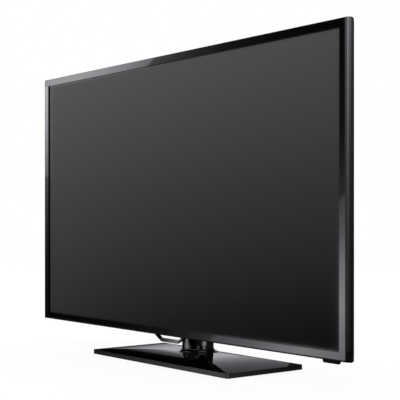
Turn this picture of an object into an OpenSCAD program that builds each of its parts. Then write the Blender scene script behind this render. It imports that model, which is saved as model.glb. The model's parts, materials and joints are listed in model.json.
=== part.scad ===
// Flat screen television on a swivelling pedestal, in millimetres.
// Origin: middle of the base's footprint on the floor. +Z is up, and the picture faces -Y.

/* [Picture] */
// Width of the visible picture
screen_w = 1018; // [900:1:1120]
// Height of the visible picture
screen_h = 573; // [520:1:620]
// Height of the picture's middle above the floor
screen_z = 366; // [350:1:390]

/* [Front bezel] */
// Bezel's breadth beside the picture, to its widest line
bezel_side = 21; // [19:0.5:30]
// Bezel's breadth above and below the picture
bezel_top = 19.5; // [18:0.5:30]
// Thickness of the bezel's front wall
bezel_wall = 2.6; // [2:0.1:3.2]
// Dark border between the picture and the bezel's lip
picture_border = 1.5; // [1:0.1:3]
// Depth from the front face to the bezel's widest line
ridge_depth = 13.7; // [13:0.1:15]
// How far the bezel's sides lean out on the way to the widest line
side_draft = 1.5; // [0.5:0.1:2]
// Rounding of the front edge
edge_round = 0.8; // [0.5:0.1:2.6]
// Rounding of the bezel's outer corners
corner_round = 3; // [1:0.5:6]

/* [Centre tab] */
// Half width of the tab at the bezel
tab_top = 50; // [40:1:60]
// Half width of the tab at its lower edge
tab_bottom = 27; // [20:1:32]
// How far the tab hangs below the bezel
tab_drop = 13; // [11:0.5:16]
// Height of the tab's window
tab_gap = 5; // [3:0.5:7]
// Width of the tab's struts
tab_strut = 7; // [5:0.5:9]

/* [Rear cover] */
// Depth of the whole set
set_depth = 49.5; // [48:0.5:56]
// Wall of the rear cover
cover_wall = 2.5; // [2:0.1:3]
// Step between the bezel's widest line and the cover
cover_step = 1; // [0.5:0.1:2]
// Depth of the slim rim
rim_depth = 27; // [25:0.5:29]
// How far the rim tapers in
rim_taper = 8; // [5:0.5:12]
// Depth where the raised housing starts
foot_depth = 31; // [30:0.5:33]
// Width of the raised housing's flat back
housing_w = 810; // [800:1:840]
// Top of the raised housing above the picture's middle
housing_top = 250; // [246:1:254]
// Bottom of the raised housing below the picture's middle
housing_bottom = 258; // [254:1:262]
// Lean of the raised housing's walls
housing_slope = 24; // [16:1:30]
// Depth of the floor of the socket bays
bay_floor = 27.5; // [26.5:0.5:28]
// Width of a ventilation slot
vent_w = 4; // [3:0.5:5]
// Length of a ventilation slot
vent_l = 26; // [18:1:30]
// Pitch of the ventilation slots
vent_pitch = 10; // [8:1:14]

/* [Panel] */
// Thickness of the display cell
cell_t = 1.8; // [1.4:0.1:2.2]
// Cell's margin outside the picture
cell_margin = 5; // [4:0.5:6]
// Thickness of the middle frame's ledge
ledge_t = 1.6; // [1.2:0.1:2]
// Thickness of the prism sheet
prism_t = 0.4; // [0.3:0.1:0.5]
// Thickness of the diffuser sheet
diffuser_t = 0.8; // [0.5:0.1:1]
// Thickness of the light guide
guide_t = 3; // [2.6:0.1:3.4]
// Thickness of the reflector sheet
reflector_t = 0.4; // [0.3:0.1:0.6]
// Thickness of the chassis sheet
chassis_t = 0.8; // [0.6:0.1:1.2]
// Number of lamp chips
lamp_count = 40; // [20:1:48]
// Number of driver films
film_count = 8; // [4:2:10]

/* [Electronics] */
// Depth of the boards' front faces
board_depth = 27; // [26:0.5:28]
// Thickness of a circuit board
board_t = 1.6; // [1:0.1:2]
// Radius of a board screw
board_screw_r = 1.5; // [1.2:0.1:1.8]

/* [Wall mount] */
// Hole spacing of the wall mount
wall_pitch = 400; // [390:1:410]
// Height of the wall mount's middle above the picture's middle
wall_z = 18; // [14:1:22]
// Radius of the wall mount's holes
wall_hole_r = 4; // [3:0.5:4.5]

/* [Control stick] */
// Distance of the control stick beyond the raised housing's foot, sideways
stick_x = 23; // [20:1:29]
// Height of the control stick above the set's lower edge
stick_z = 71; // [61:1:76]
// Radius of the stick's cap
cap_r = 6.5; // [5.5:0.1:7]
// Travel of the cap when pressed
press_travel = 0.8; // [0.4:0.1:1]

/* [Stand] */
// Width of the base
base_w = 488; // [460:1:560]
// Depth of the base, front to back
base_d = 206; // [180:1:240]
// Height of the base's edge
base_edge = 10; // [9:0.5:14]
// Rise of the base's crown above its edge
base_crown = 12; // [11.5:0.5:16]
// Wall of the base deck
deck_wall = 3; // [2.5:0.1:3.5]
// Rounding of the base's corners
base_corner = 6; // [3:0.5:12]
// Height of the feet
foot_h = 1.5; // [1:0.1:3]
// Thickness of the weight plate
weight_t = 5; // [4:0.5:6]
// Radius of the neck
neck_r = 35; // [32:0.5:36]
// Swing axis behind the middle of the base
neck_back = 16; // [14:0.5:20]
// Flare of the neck's foot
neck_flare = 7.5; // [5:0.5:9]
// Wall of the neck cover
neck_wall = 3; // [2:0.1:3.5]
// Radius of the swivel's spindle
spindle_r = 12; // [10:0.5:14]
// Greatest swing to each side, in degrees
swing = 20; // [10:1:30]

/* [Fits] */
// Radial clearance of a turning shaft
run_gap = 0.05; // [0.02:0.01:0.09]
// Clearance between fixed pieces
fixed_gap = 0.3; // [0.2:0.05:0.5]
// Clearance under the neck as it turns
turn_gap = 0.7; // [0.4:0.1:1]

/* [Hidden] */
$fn = 64;
eps = 0.5;
BLACK = [0.03, 0.03, 0.035];
DARK = [0.12, 0.12, 0.13];
STEEL = [0.68, 0.69, 0.70];
BOARD = [0.07, 0.30, 0.16];
CREAM = [0.88, 0.87, 0.82];

set_w = screen_w + 2 * bezel_side;
set_h = screen_h + 2 * bezel_top;
set_half = [set_w / 2, set_h / 2];
picture_half = [screen_w / 2, screen_h / 2];

// The set's front face stands ahead of the base's middle, so that its weight is near the neck
front_y = -68;

// Depths of the panel's layers, behind the front face
cell_y = bezel_wall + 0.4;
ledge_y = cell_y + cell_t;
prism_y = ledge_y + ledge_t;
diffuser_y = prism_y + prism_t;
guide_y = diffuser_y + diffuser_t;
reflector_y = guide_y + guide_t;
chassis_y = reflector_y + reflector_t;
back_y = chassis_y + chassis_t;

lip_half = picture_half + [picture_border, picture_border];
cell_half = picture_half + [cell_margin, cell_margin];
layer_half = cell_half - [0.5, 0.3];
chassis_half = cell_half + [2.5, 2.9];
flange_y = prism_y + 0.5;
frame_inner = chassis_half + [fixed_gap, fixed_gap];
frame_wall = 2;
frame_half = frame_inner + [frame_wall, frame_wall];
bezel_inner = set_half - [bezel_wall + side_draft, bezel_wall + side_draft];

// Lamps stand on the chassis's lower flange and shine up into the light guide
lamp_board_t = 1.2;
lamp_h = 0.9;
lamp_floor = -chassis_half.y + chassis_t;
guide_bottom = lamp_floor + lamp_board_t + lamp_h + 0.5;

// Source boards lie behind the chassis's upper edge, with their films folded over the top
source_y = back_y + 0.5;
source_t = 1.2;
source_top = frame_half.y - 10;
source_h = 22;
film_t = 0.2;
film_w = 42;
film_end = lip_half.y + 0.8;
film_grip = 8;

cover_half = set_half - [cover_step, cover_step];
lap = 3.5;
lap_wall = 1.8;

// Rear bays, as [left, right], open downwards
bay_ceiling = -133;
socket_bay = [58, 182];
mains_bay = [-150, -90];
side_bay_x = 303;
side_bay_z = [-112, 44];
recess_w = 92;
recess_y = set_depth - 10;
recess_top = -146;

component_y = board_depth + board_t;
main_board_x = [57, side_bay_x - cover_wall - 2];
main_board_z = [bay_ceiling + cover_wall + 3, 62];
power_board_x = [-310, -80];
power_board_z = [bay_ceiling + cover_wall + 3, 72];
timing_board_x = [-80, 80];
timing_board_z = [120, 186];
post_r = 4;
post_inset = 8;
function board_corners(bx, bz) =
    [for (x = [bx[0] + post_inset, bx[1] - post_inset], z = [bz[0] + post_inset, bz[1] - post_inset]) [x, z]];
posts = concat(board_corners(main_board_x, main_board_z), board_corners(power_board_x, power_board_z),
               board_corners(timing_board_x, timing_board_z));

// Cover screws stand in sunk bosses on posts of the chassis
cover_post_r = 5;
cover_post_y = 19;
cover_screw_r = 2;
cover_head_r = 4.5;
cover_screw_inset = [50, 33];
cover_screw_far = set_half - cover_screw_inset;
cover_screws_at = [for (x = [-1, -0.5, 0.5, 1], z = [-1, 1]) [x * cover_screw_far.x, z * cover_screw_far.y]];

insert_r = 9;
inserts_at = [for (x = [-1, 1], z = [-1, 1]) [x * wall_pitch / 2, wall_z + z * wall_pitch / 2]];

// Stand bracket and neck, all on the swing axis
bracket_half_w = 52;
bracket_z = [-248, -140];
bracket_t = 3;
plate_w = 84;
plate_t = 5;
plate_z = [-250, -152];
neck_screw_r = 2.5;
neck_screw_head_r = 5;
neck_screw_inset = [12, 16];
neck_screw_x = plate_w / 2 - neck_screw_inset.x;
neck_screws_at = [for (x = [-1, 1], z = [plate_z[0] + neck_screw_inset.y, plate_z[1] - neck_screw_inset.y])
    [x * neck_screw_x, z]];
post_tube_r = 24;
post_tube_wall = 3;
neck_top = screen_z + recess_top - 4;

// Heights in the base and the swivel, above the floor
deck_z = foot_h;
edge_z = foot_h + base_edge;
crown_z = edge_z + base_crown;
floor_t = 2;
weight_z = foot_h + floor_t;
block_z = weight_z + weight_t;
washer_t = 1;
washer_z = crown_z - 1.5;
flange_z = washer_z + washer_t + 0.1;
flange_t = 5;
neck_z = crown_z + turn_gap;
block_r = 34;
flange_r = 29;
nut_r = 17;
spring_t = 0.6;
pad_r = neck_r + neck_flare + 2;
stop_r = 2.2;
stop_at = 22;
stop_deep = 6;
base_half = [base_w / 2, base_d / 2];
weight_inset = [26, 24];
weight_half = base_half - weight_inset;
base_screw_half = weight_half - [14, 10];
foot_half = base_half - [24, 15];
base_screws_at = [for (x = [-1, 1], y = [-1, 1]) [x * base_screw_half.x, y * base_screw_half.y]];
feet_at = [for (x = [-1, 1], y = [-1, 1]) [x * foot_half.x, y * foot_half.y]];
foot_r = 8;
foot_sunk = 1;
base_screw_r = 2;

// Places the set: X sideways, Y is depth behind the front face, Z is height from the picture's middle
module in_set() translate([0, front_y, screen_z]) children();

// Places what turns on the swing axis, with heights above the floor
module on_axis() translate([0, neck_back, 0]) children();

module block(low, high) translate(low) cube(high - low);

module sheet(half, y0, y1) block([-half.x, y0, -half.y], [half.x, y1, half.y]);

module frame_ring(outer, inner, y0, y1) difference() {
    sheet(outer, y0, y1);
    sheet(inner, y0 - eps, y1 + eps);
}

module rod(at, y0, y1, r) translate([at.x, y0, at.y]) rotate([-90, 0, 0]) cylinder(h = y1 - y0, r = r);

module drum(z0, z1, r) translate([0, 0, z0]) cylinder(h = z1 - z0, r = r);

module tube(z0, z1, r_out, r_in) difference() {
    drum(z0, z1, r_out);
    drum(z0 - eps, z1 + eps, r_in);
}

module rounded_square(half, r) {
    square([2 * half.x - 2 * r, 2 * half.y], center = true);
    square([2 * half.x, 2 * half.y - 2 * r], center = true);
    for (x = [-1, 1], y = [-1, 1]) translate([x * (half.x - r), y * (half.y - r)]) circle(r);
}

// Solid whose outline across the width and the height are two profiles in depth
module two_way(half) intersection() {
    translate([0, 0, -half.y - eps]) linear_extrude(2 * half.y + 2 * eps) children(0);
    translate([-half.x - eps, 0, 0]) rotate([90, 0, 90]) linear_extrude(2 * half.x + 2 * eps) children(1);
}

// Half outline of the bezel in depth: a rounded front edge, then a lean out to the widest line
module bezel_profile(half) {
    front = half - side_draft;
    polygon([[-half, ridge_depth], [-front, edge_round], [-front + edge_round, 0],
             [front - edge_round, 0], [front, edge_round], [half, ridge_depth]]);
    for (s = [-1, 1]) translate([s * (front - edge_round), edge_round]) circle(edge_round);
}

module bezel_form() intersection() {
    two_way(set_half) {
        bezel_profile(set_half.x);
        mirror([1, -1, 0]) bezel_profile(set_half.y);
    }
    translate([0, ridge_depth, 0]) rotate([90, 0, 0])
        linear_extrude(ridge_depth) rounded_square(set_half, corner_round);
}

window_x = picture_half.x - 23;
window_half_w = 20;
window_y = [bezel_wall + 0.6, ridge_depth - lap - 1];
window_drop = 4.5;
window_flange_w = window_half_w + 2;
window_flange_t = 1;

tab_y = [bezel_wall + 0.6, ridge_depth - 1.5];

module front_bezel() color(BLACK) in_set() difference() {
    bezel_form();
    sheet(lip_half, -eps, ridge_depth + eps);
    sheet(bezel_inner, bezel_wall, ridge_depth + eps);
    block([window_x - window_half_w - fixed_gap, window_y[0] - fixed_gap, -set_half.y - eps],
          [window_x + window_half_w + fixed_gap, window_y[1] + fixed_gap, -bezel_inner.y + eps]);
    for (s = [-1, 1]) scale([s, 1, 1])
        block([tab_top - tab_strut - fixed_gap, tab_y[0] - fixed_gap, -set_half.y - eps],
              [tab_top + fixed_gap, tab_y[1] + fixed_gap, -bezel_inner.y + eps]);
}

// Open trapezoid loop whose two struts stand in slots of the lower edge
module centre_tab() color(BLACK) in_set() translate([0, tab_y[1], -set_half.y]) rotate([90, 0, 0])
    linear_extrude(tab_y[1] - tab_y[0]) difference() {
        root = set_half.y - bezel_inner.y - fixed_gap;
        lean = (tab_top - tab_bottom) / tab_drop;
        inner = tab_top - tab_strut;
        polygon([[-tab_top, root], [tab_top, root], [tab_top, 0], [tab_bottom, -tab_drop],
                 [-tab_bottom, -tab_drop], [-tab_top, 0]]);
        polygon([[-inner, root + eps], [inner, root + eps], [inner, 0], [inner - lean * tab_gap, -tab_gap],
                 [-inner + lean * tab_gap, -tab_gap], [-inner, 0]]);
    }

module sensor_window() color(DARK) in_set() {
    taper = 1.5;
    root = set_half.y - bezel_inner.y;
    translate([window_x, window_y[1], -set_half.y]) rotate([90, 0, 0])
        linear_extrude(window_y[1] - window_y[0])
            polygon([[-window_half_w, root], [window_half_w, root],
                     [window_half_w, 0], [window_half_w - taper, -window_drop],
                     [-window_half_w + taper, -window_drop], [-window_half_w, 0]]);
    block([window_x - window_flange_w, window_y[0] - fixed_gap, -bezel_inner.y],
          [window_x + window_flange_w, window_y[1] + 2 * fixed_gap, -bezel_inner.y + window_flange_t]);
}

module sensor_board() color(BOARD) in_set() {
    seat = -bezel_inner.y + window_flange_t;
    top = seat + 1;
    block([window_x - window_flange_w, window_y[0], seat], [window_x + window_flange_w, window_y[1], top]);
    for (x = [window_x - 10, window_x + 8])
        block([x - 3, window_y[0] + 1, top], [x + 3, window_y[1] - 1, top + 1.4]);
}

module display_cell() color([0.06, 0.06, 0.065]) in_set() sheet(cell_half, cell_y, ledge_y);

module middle_frame() color(DARK) in_set() {
    pocket = cell_half + [0.5, 0.5];
    frame_ring(frame_half, pocket, cell_y, ledge_y);
    frame_ring(frame_half, lip_half, ledge_y, prism_y);
    frame_ring(frame_half, frame_inner, prism_y, chassis_y + 0.6);
}

module layer(y0, y1) block([-layer_half.x, y0, guide_bottom], [layer_half.x, y1, layer_half.y]);

module prism_sheet() color([0.85, 0.88, 0.92]) in_set() layer(prism_y, diffuser_y);
module diffuser_sheet() color("white") in_set() layer(diffuser_y, guide_y);
module light_guide() color([0.80, 0.90, 0.95]) in_set() layer(guide_y, reflector_y);
module reflector_sheet() color("white") in_set() layer(reflector_y, chassis_y);

lamp_x = cell_half.x - 8;

module lamp_strip() color(CREAM) in_set()
    block([-lamp_x, guide_y, lamp_floor], [lamp_x, chassis_y, lamp_floor + lamp_board_t]);

module lamp_chips() color("gold") in_set() for (i = [0 : lamp_count - 1]) {
    step = 2 * lamp_x / lamp_count;
    x = -lamp_x + (i + 0.5) * step;
    block([x - 2.8, guide_y, lamp_floor + lamp_board_t],
          [x + 2.8, reflector_y, lamp_floor + lamp_board_t + lamp_h]);
}

rib_inset = [86, 94];
rib_half = chassis_half - rib_inset;
rib_w = 16;
rib_h = 3;
rib_start = wall_pitch / 2 + insert_r + 6;
rib_z = source_top - source_h - rib_w - 6;

// Folded steel pan with pressed stiffening ribs, board posts and cover posts
module chassis() color(STEEL) in_set() difference() {
    union() {
        sheet(chassis_half, chassis_y, back_y);
        frame_ring(chassis_half, chassis_half - [chassis_t, chassis_t], flange_y, back_y);
        for (at = posts) rod(at, back_y - eps, board_depth, post_r);
        for (at = cover_screws_at) rod(at, back_y - eps, cover_post_y, cover_post_r);
        for (s = [-1, 1]) scale([s, 1, 1]) {
            block([rib_half.x, back_y - eps, -rib_half.y], [rib_half.x + rib_w, back_y + rib_h, rib_half.y]);
            block([rib_start, back_y - eps, rib_z], [rib_half.x, back_y + rib_h, rib_z + rib_w]);
        }
    }
    for (at = posts) rod(at, back_y + 2, board_depth + eps, board_screw_r + run_gap);
    for (at = cover_screws_at) rod(at, back_y + 1, cover_post_y + eps, cover_screw_r + run_gap);
}

source_x = [22, cover_screw_far.x - cover_post_r - 4];

module source_boards() color(BOARD) in_set() difference() {
    for (s = [0, 1]) mirror([s, 0, 0])
        block([source_x[0], source_y, source_top - source_h], [source_x[1], source_y + source_t, source_top]);
    for (at = cover_screws_at) rod(at, source_y - eps, source_y + source_t + eps, cover_post_r + fixed_gap);
}

// Thin films from the cell's upper edge, folded back over the frame to the source boards
module driver_films() color([0.55, 0.38, 0.16]) in_set() for (i = [0 : film_count - 1]) {
    per_side = film_count / 2;
    side = i < per_side ? -1 : 1;
    place = (i % per_side + 0.5) / per_side;
    x = side * (source_x[0] + place * (source_x[1] - source_x[0]));
    top = frame_half.y + 1;
    front = cell_y - film_t - 0.1;
    rear = source_y + source_t;
    translate([x - film_w / 2, 0, 0]) rotate([90, 0, 90]) linear_extrude(film_w) difference() {
        translate([front, 0]) square([rear + film_t - front, top + film_t]);
        translate([front + film_t, -eps]) square([rear - front - film_t, top + eps]);
        translate([0, -eps]) square([cell_y, film_end + eps]);
        translate([source_y, -eps]) square([2 * film_grip, source_top - film_grip + eps]);
    }
}

module circuit_board(bx, bz) difference() {
    block([bx[0], board_depth, bz[0]], [bx[1], component_y, bz[1]]);
    for (at = board_corners(bx, bz)) rod(at, board_depth - eps, component_y + eps, board_screw_r + run_gap);
}

module chip(x, z, w, h, t)
    block([x - w / 2, component_y, z - h / 2], [x + w / 2, component_y + t, z + h / 2]);

module timing_board() color(BOARD) in_set() {
    circuit_board(timing_board_x, timing_board_z);
    chip(0, 156, 18, 18, 1.4);
    for (x = [-40, 40]) chip(x, 172, 44, 6, 3);
    chip(0, timing_board_z[0] + 6, 30, 6, 3);
}

// Flat ribbon from the main board up to the timing board
ribbon_w = 26;
ribbon_x = 70;
ribbon_t = 0.4;

module panel_ribbon() color(CREAM) in_set() {
    low = main_board_z[1] - 14;
    high = timing_board_z[0] + 14;
    sag = component_y + 6;
    left = ribbon_x - ribbon_w / 2;
    right = ribbon_x + ribbon_w / 2;
    for (z = [low, high]) block([left, component_y, z - ribbon_t], [right, sag, z]);
    block([left, sag - ribbon_t, low], [right, sag, high - ribbon_t]);
}

heatsink_at = [170, -30];
heatsink_w = 44;
heatsink_h = 11;
processor_t = 2;
fin_t = 1.4;
fin_steps = 8;

module main_board() color(BOARD) in_set() {
    circuit_board(main_board_x, main_board_z);
    chip(heatsink_at.x, heatsink_at.y, 30, 30, processor_t);
    for (x = [110, 230]) for (z = [-44, -16]) chip(x, z, 11, 13, 1.2);
    chip(250, 30, 16, 20, 2);
    for (i = [0 : 5]) chip(90 + i * 12, 20, 7, 7, 5);
}

module processor_heatsink() color(STEEL) in_set()
    translate([heatsink_at.x, component_y + processor_t, heatsink_at.y]) {
        half = heatsink_w / 2;
        block([-half, 0, -half], [half, 2.5, half]);
        for (i = [0 : fin_steps]) translate([i * (heatsink_w - fin_t) / fin_steps - half, 0, 0])
            block([0, 2, -half], [fin_t, heatsink_h, half]);
    }

// Sockets as [breadth, height off the board, length], and their mouths as [breadth, height, depth]
picture_body = [16, 7, 13];
picture_mouth = [14.6, 5.4, 11];
memory_body = [14.5, 7.5, 15];
memory_mouth = [12.8, 5.4, 12];
network_body = [16, 13.5, 19];
network_mouth = [12, 9, 14];
picture_socket_z = [16, -14];
memory_socket_z = -46;
network_x = 82;
tuner_x = 164;
aerial_depth = 7;
aerial_r = 4.7;
jack_x = [100, 116, 132];
jack_depth = 8;
jack_r = 4.15;
jack_collar_r = 5.6;
mains_x = -120;
mains_body = [26, 15, 22];
mains_mouth = [15, 8, 13.5];

// A socket that opens downwards in the ceiling of its bay
module drop_socket(x, body, mouth) {
    middle = component_y + body.y / 2;
    difference() {
        block([x - body.x / 2, component_y, bay_ceiling],
              [x + body.x / 2, component_y + body.y, bay_ceiling + body.z]);
        block([x - mouth.x / 2, middle - mouth.y / 2, bay_ceiling - eps],
              [x + mouth.x / 2, middle + mouth.y / 2, bay_ceiling + mouth.z]);
    }
}

// A socket that opens sideways into the side bay
module side_socket(z, body, mouth) {
    middle = component_y + body.y / 2;
    difference() {
        block([side_bay_x - body.z, component_y, z - body.x / 2],
              [side_bay_x, component_y + body.y, z + body.x / 2]);
        block([side_bay_x - mouth.z, middle - mouth.y / 2, z - mouth.x / 2],
              [side_bay_x + eps, middle + mouth.y / 2, z + mouth.x / 2]);
    }
}

// Clear holes in the cover for a socket
module drop_hole(x, body)
    block([x - body.x / 2 - fixed_gap, component_y - fixed_gap, bay_ceiling - eps],
          [x + body.x / 2 + fixed_gap, component_y + body.y + fixed_gap, bay_ceiling + cover_wall + eps]);

module side_hole(z, body)
    block([side_bay_x - cover_wall - eps, component_y - fixed_gap, z - body.x / 2 - fixed_gap],
          [side_bay_x + eps, component_y + body.y + fixed_gap, z + body.x / 2 + fixed_gap]);

module picture_sockets() color(STEEL) in_set()
    for (z = picture_socket_z) side_socket(z, picture_body, picture_mouth);

module memory_socket() color(STEEL) in_set() side_socket(memory_socket_z, memory_body, memory_mouth);

module network_socket() color(DARK) in_set() drop_socket(network_x, network_body, network_mouth);

module tuner_can() color(STEEL) in_set() {
    base = bay_ceiling + cover_wall + 1;
    difference() {
        block([tuner_x - 13, component_y, base], [tuner_x + 13, component_y + 14, base + 44]);
        block([tuner_x - 11, component_y + 13, base + 8], [tuner_x + 11, component_y + 15, base + 36]);
    }
}

module aerial_socket() color([0.80, 0.66, 0.32]) in_set() {
    base = bay_ceiling + cover_wall + 1;
    translate([tuner_x, component_y + aerial_depth, bay_ceiling - 10]) difference() {
        union() {
            cylinder(h = base - bay_ceiling + 10, r = aerial_r);
            translate([0, 0, 8]) cylinder(h = 2, r = 6, $fn = 6);
        }
        translate([0, 0, -eps]) cylinder(h = 8, r = 1.2);
    }
}

module audio_video_jacks() color([0.20, 0.20, 0.21]) in_set() {
    base = bay_ceiling + cover_wall + 1;
    middle = component_y + jack_depth;
    block([jack_x[0] - 7, component_y, base], [jack_x[2] + 7, middle + 7, base + 14]);
    for (x = jack_x) translate([x, middle, bay_ceiling - 9]) difference() {
        union() {
            cylinder(h = base - bay_ceiling + 9 + eps, r = jack_r);
            translate([0, 0, 7.5]) cylinder(h = base - bay_ceiling + 1.5 + eps, r = jack_collar_r);
        }
        translate([0, 0, -eps]) cylinder(h = 12, r = 1.7);
    }
}

transformer_at = [[-150, 20], [-215, 20]];
transformer_w = 40;
transformer_h = 34;
bobbin_t = 4;
core_w = 28;
core_over = 6;
core_t = 15;
capacitor_at = [[-262, -20], [-262, 20], [-285, 0]];
capacitor_r = 9;
capacitor_l = 16;
power_sink_x = [-185, -115];
power_sink_z = -40;
power_sink_h = 15;

module power_board() color([0.62, 0.50, 0.30]) in_set() {
    circuit_board(power_board_x, power_board_z);
    for (i = [0 : 6]) chip(-200 + i * 14, -70, 8, 10, 8);
    chip(-130, 58, 40, 8, 8);
}

module transformers() color([0.75, 0.62, 0.20]) in_set() for (at = transformer_at) {
    chip(at.x, at.y, transformer_w, transformer_h, bobbin_t);
    chip(at.x, at.y, core_w, transformer_h + core_over, core_t);
}

module capacitors() color([0.10, 0.12, 0.25]) in_set() for (at = capacitor_at)
    rod(at, component_y, component_y + capacitor_l, capacitor_r);

module power_heatsinks() color(STEEL) in_set() for (x = power_sink_x) {
    high = component_y + power_sink_h;
    block([x - 24, component_y, power_sink_z - 1.5], [x + 24, high, power_sink_z + 1.5]);
    for (i = [0 : 4]) translate([x - 24 + i * 11, 0, power_sink_z])
        block([0, component_y + 3, 1], [2, high, 9]);
}

module mains_inlet() color(BLACK) in_set() {
    middle = component_y + mains_body.y / 2;
    pin_r = 1.15;
    difference() {
        block([mains_x - mains_body.x / 2, component_y, bay_ceiling],
              [mains_x + mains_body.x / 2, component_y + mains_body.y, bay_ceiling + mains_body.z]);
        translate([mains_x, middle, bay_ceiling - eps]) linear_extrude(mains_mouth.z + eps)
            rounded_square([mains_mouth.x, mains_mouth.y] / 2, mains_mouth.y / 2 - 0.01);
    }
    for (s = [-1, 1]) translate([mains_x + s * 4.3, middle, bay_ceiling + 3]) cylinder(h = 11, r = pin_r);
}

module board_screws() color(STEEL) in_set() for (at = posts) {
    rod(at, back_y + 4, component_y + eps, board_screw_r);
    rod(at, component_y, component_y + 2, 2 * board_screw_r);
}

// Slim speaker boxes that fire down through slots beside the stand
speaker_side = 13;
speaker_w = 100;
speaker_h = 38;
speaker_x = [housing_w / 2 - speaker_side - speaker_w, housing_w / 2 - speaker_side];
speaker_z = [-housing_bottom + 6, -housing_bottom + 6 + speaker_h];
speaker_y = [back_y, 42];
speaker_wall = 2;
cone_r = 13.5;
cones_at = [speaker_x[0] + 26, speaker_x[1] - 26];
cone_y = (speaker_y[0] + speaker_y[1]) / 2;

module speaker_boxes() color(BLACK) in_set() for (s = [0, 1]) mirror([s, 0, 0]) difference() {
    block([speaker_x[0], speaker_y[0], speaker_z[0]], [speaker_x[1], speaker_y[1], speaker_z[1]]);
    block([speaker_x[0] + speaker_wall, speaker_y[0] + speaker_wall, speaker_z[0] + speaker_wall],
          [speaker_x[1] - speaker_wall, speaker_y[1] - speaker_wall, speaker_z[1] - speaker_wall]);
    for (x = cones_at) translate([x, cone_y, speaker_z[0] - eps])
        cylinder(h = speaker_wall + 2 * eps, r = cone_r - 3.5);
}

module speaker_cones() color(DARK) in_set() for (s = [0, 1]) mirror([s, 0, 0])
    for (x = cones_at) translate([x, cone_y, speaker_z[0]]) rotate([180, 0, 0]) rotate_extrude()
        polygon([[3, 0], [cone_r, 0], [cone_r, 2.4], [cone_r - 2.5, 2.4], [cone_r - 4.5, 1.6],
                 [4, 0.8], [3, 1.6]]);

// Control stick on the back: a gimbal lets it lean four ways, and its cap presses in
stick_at = [housing_w / 2 + housing_slope + stick_x, stick_z - set_half.y];
stick_dish_r = 15;
dish_y = 27.4;
dish_wall = 2.4;
pivot_y = 20.5;
housing_half = 11;
housing_y = [15.6, dish_y - dish_wall];
gimbal_r = [4.6, 7];
gimbal_t = 2.4;
pin_r = 0.8;
stem_r = 2.4;
cavity_r = 9;
stem_end = dish_y + 2.2;
cap_y = [dish_y - 0.6, dish_y + 5.4];

module at_stick() translate([stick_at.x, 0, stick_at.y]) children();

module stick_board() color(BOARD) in_set() at_stick()
    block([-16, housing_y[0] - board_t, -16], [16, housing_y[0], 16]);

module stick_housing() color(DARK) in_set() at_stick() difference() {
    block([-housing_half, housing_y[0], -housing_half], [housing_half, housing_y[1], housing_half]);
    rod([0, 0], housing_y[0] + 1.4, housing_y[1] + eps, cavity_r);
    translate([-housing_half - eps, pivot_y, 0]) rotate([0, 90, 0])
        cylinder(h = 2 * housing_half + 2 * eps, r = pin_r + run_gap);
}

module stick_gimbal() color(STEEL) in_set() at_stick() difference() {
    union() {
        rod([0, 0], pivot_y - gimbal_t / 2, pivot_y + gimbal_t / 2, gimbal_r[1]);
        for (s = [0, 1]) mirror([s, 0, 0]) translate([gimbal_r[1] - 0.8, pivot_y, 0]) rotate([0, 90, 0])
            cylinder(h = housing_half - gimbal_r[1] + 0.6, r = pin_r);
    }
    rod([0, 0], pivot_y - gimbal_t, pivot_y + gimbal_t, gimbal_r[0]);
    translate([0, pivot_y, -gimbal_r[1] - 1]) cylinder(h = 2 * gimbal_r[1] + 2, r = pin_r + run_gap);
}

module control_stick() color(DARK) in_set() at_stick() {
    rod([0, 0], pivot_y - 2, stem_end, stem_r);
    translate([0, pivot_y, -gimbal_r[1] + 0.4]) cylinder(h = 2 * gimbal_r[1] - 0.8, r = pin_r);
}

module stick_cap() color(BLACK) in_set() at_stick() difference() {
    tall = cap_y[1] - cap_y[0];
    translate([0, cap_y[0], 0]) rotate([-90, 0, 0]) rotate_extrude()
        polygon([[0, 0], [cap_r - 0.6, 0], [cap_r, 0.6], [cap_r, tall - 1.2], [cap_r - 1.2, tall],
                 [cap_r / 2, tall - 0.5], [0, tall - 0.7]]);
    rod([0, 0], cap_y[0] - eps, stem_end + press_travel + 0.4, stem_r + run_gap);
}

// Pressed steel bracket that carries the neck's plate
module stand_bracket() color(STEEL) in_set() {
    face = recess_y - cover_wall;
    difference() {
        union() {
            block([-bracket_half_w, face - bracket_t, bracket_z[0]], [bracket_half_w, face, bracket_z[1]]);
            for (s = [-1, 1]) scale([s, 1, 1]) {
                inner = bracket_half_w - bracket_t;
                block([inner, back_y, bracket_z[0]], [bracket_half_w, face, bracket_z[1]]);
                block([inner, back_y, bracket_z[0]], [bracket_half_w + 18, back_y + bracket_t, bracket_z[1]]);
            }
        }
        for (at = neck_screws_at) rod(at, face - bracket_t - eps, face + eps, neck_screw_r + run_gap);
    }
}

module wall_inserts() color(STEEL) in_set() for (at = inserts_at) difference() {
    rod(at, back_y, set_depth, insert_r);
    rod(at, set_depth - 22, set_depth + eps, wall_hole_r);
}

// Outline of the rear cover in depth, for one end that runs from the rim to the raised housing
function cover_side(rim, flat, g) = [
    [rim - g, ridge_depth - (g > 0 ? 1 : 0)], [rim - g - 0.8, ridge_depth + 5 - g / 2],
    [rim - rim_taper - g, rim_depth - g], [flat + housing_slope - g, foot_depth - g],
    [flat - g, set_depth - g]];
function flip(points) = [for (i = [len(points) - 1 : -1 : 0]) [-points[i].x, points[i].y]];

module cover_form(g) two_way(set_half) {
    polygon(concat(cover_side(cover_half.x, housing_w / 2, g),
                   flip(cover_side(cover_half.x, housing_w / 2, g))));
    mirror([1, -1, 0]) polygon(concat(cover_side(cover_half.y, housing_top, g),
                                      flip(cover_side(cover_half.y, housing_bottom, g))));
}

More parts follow.
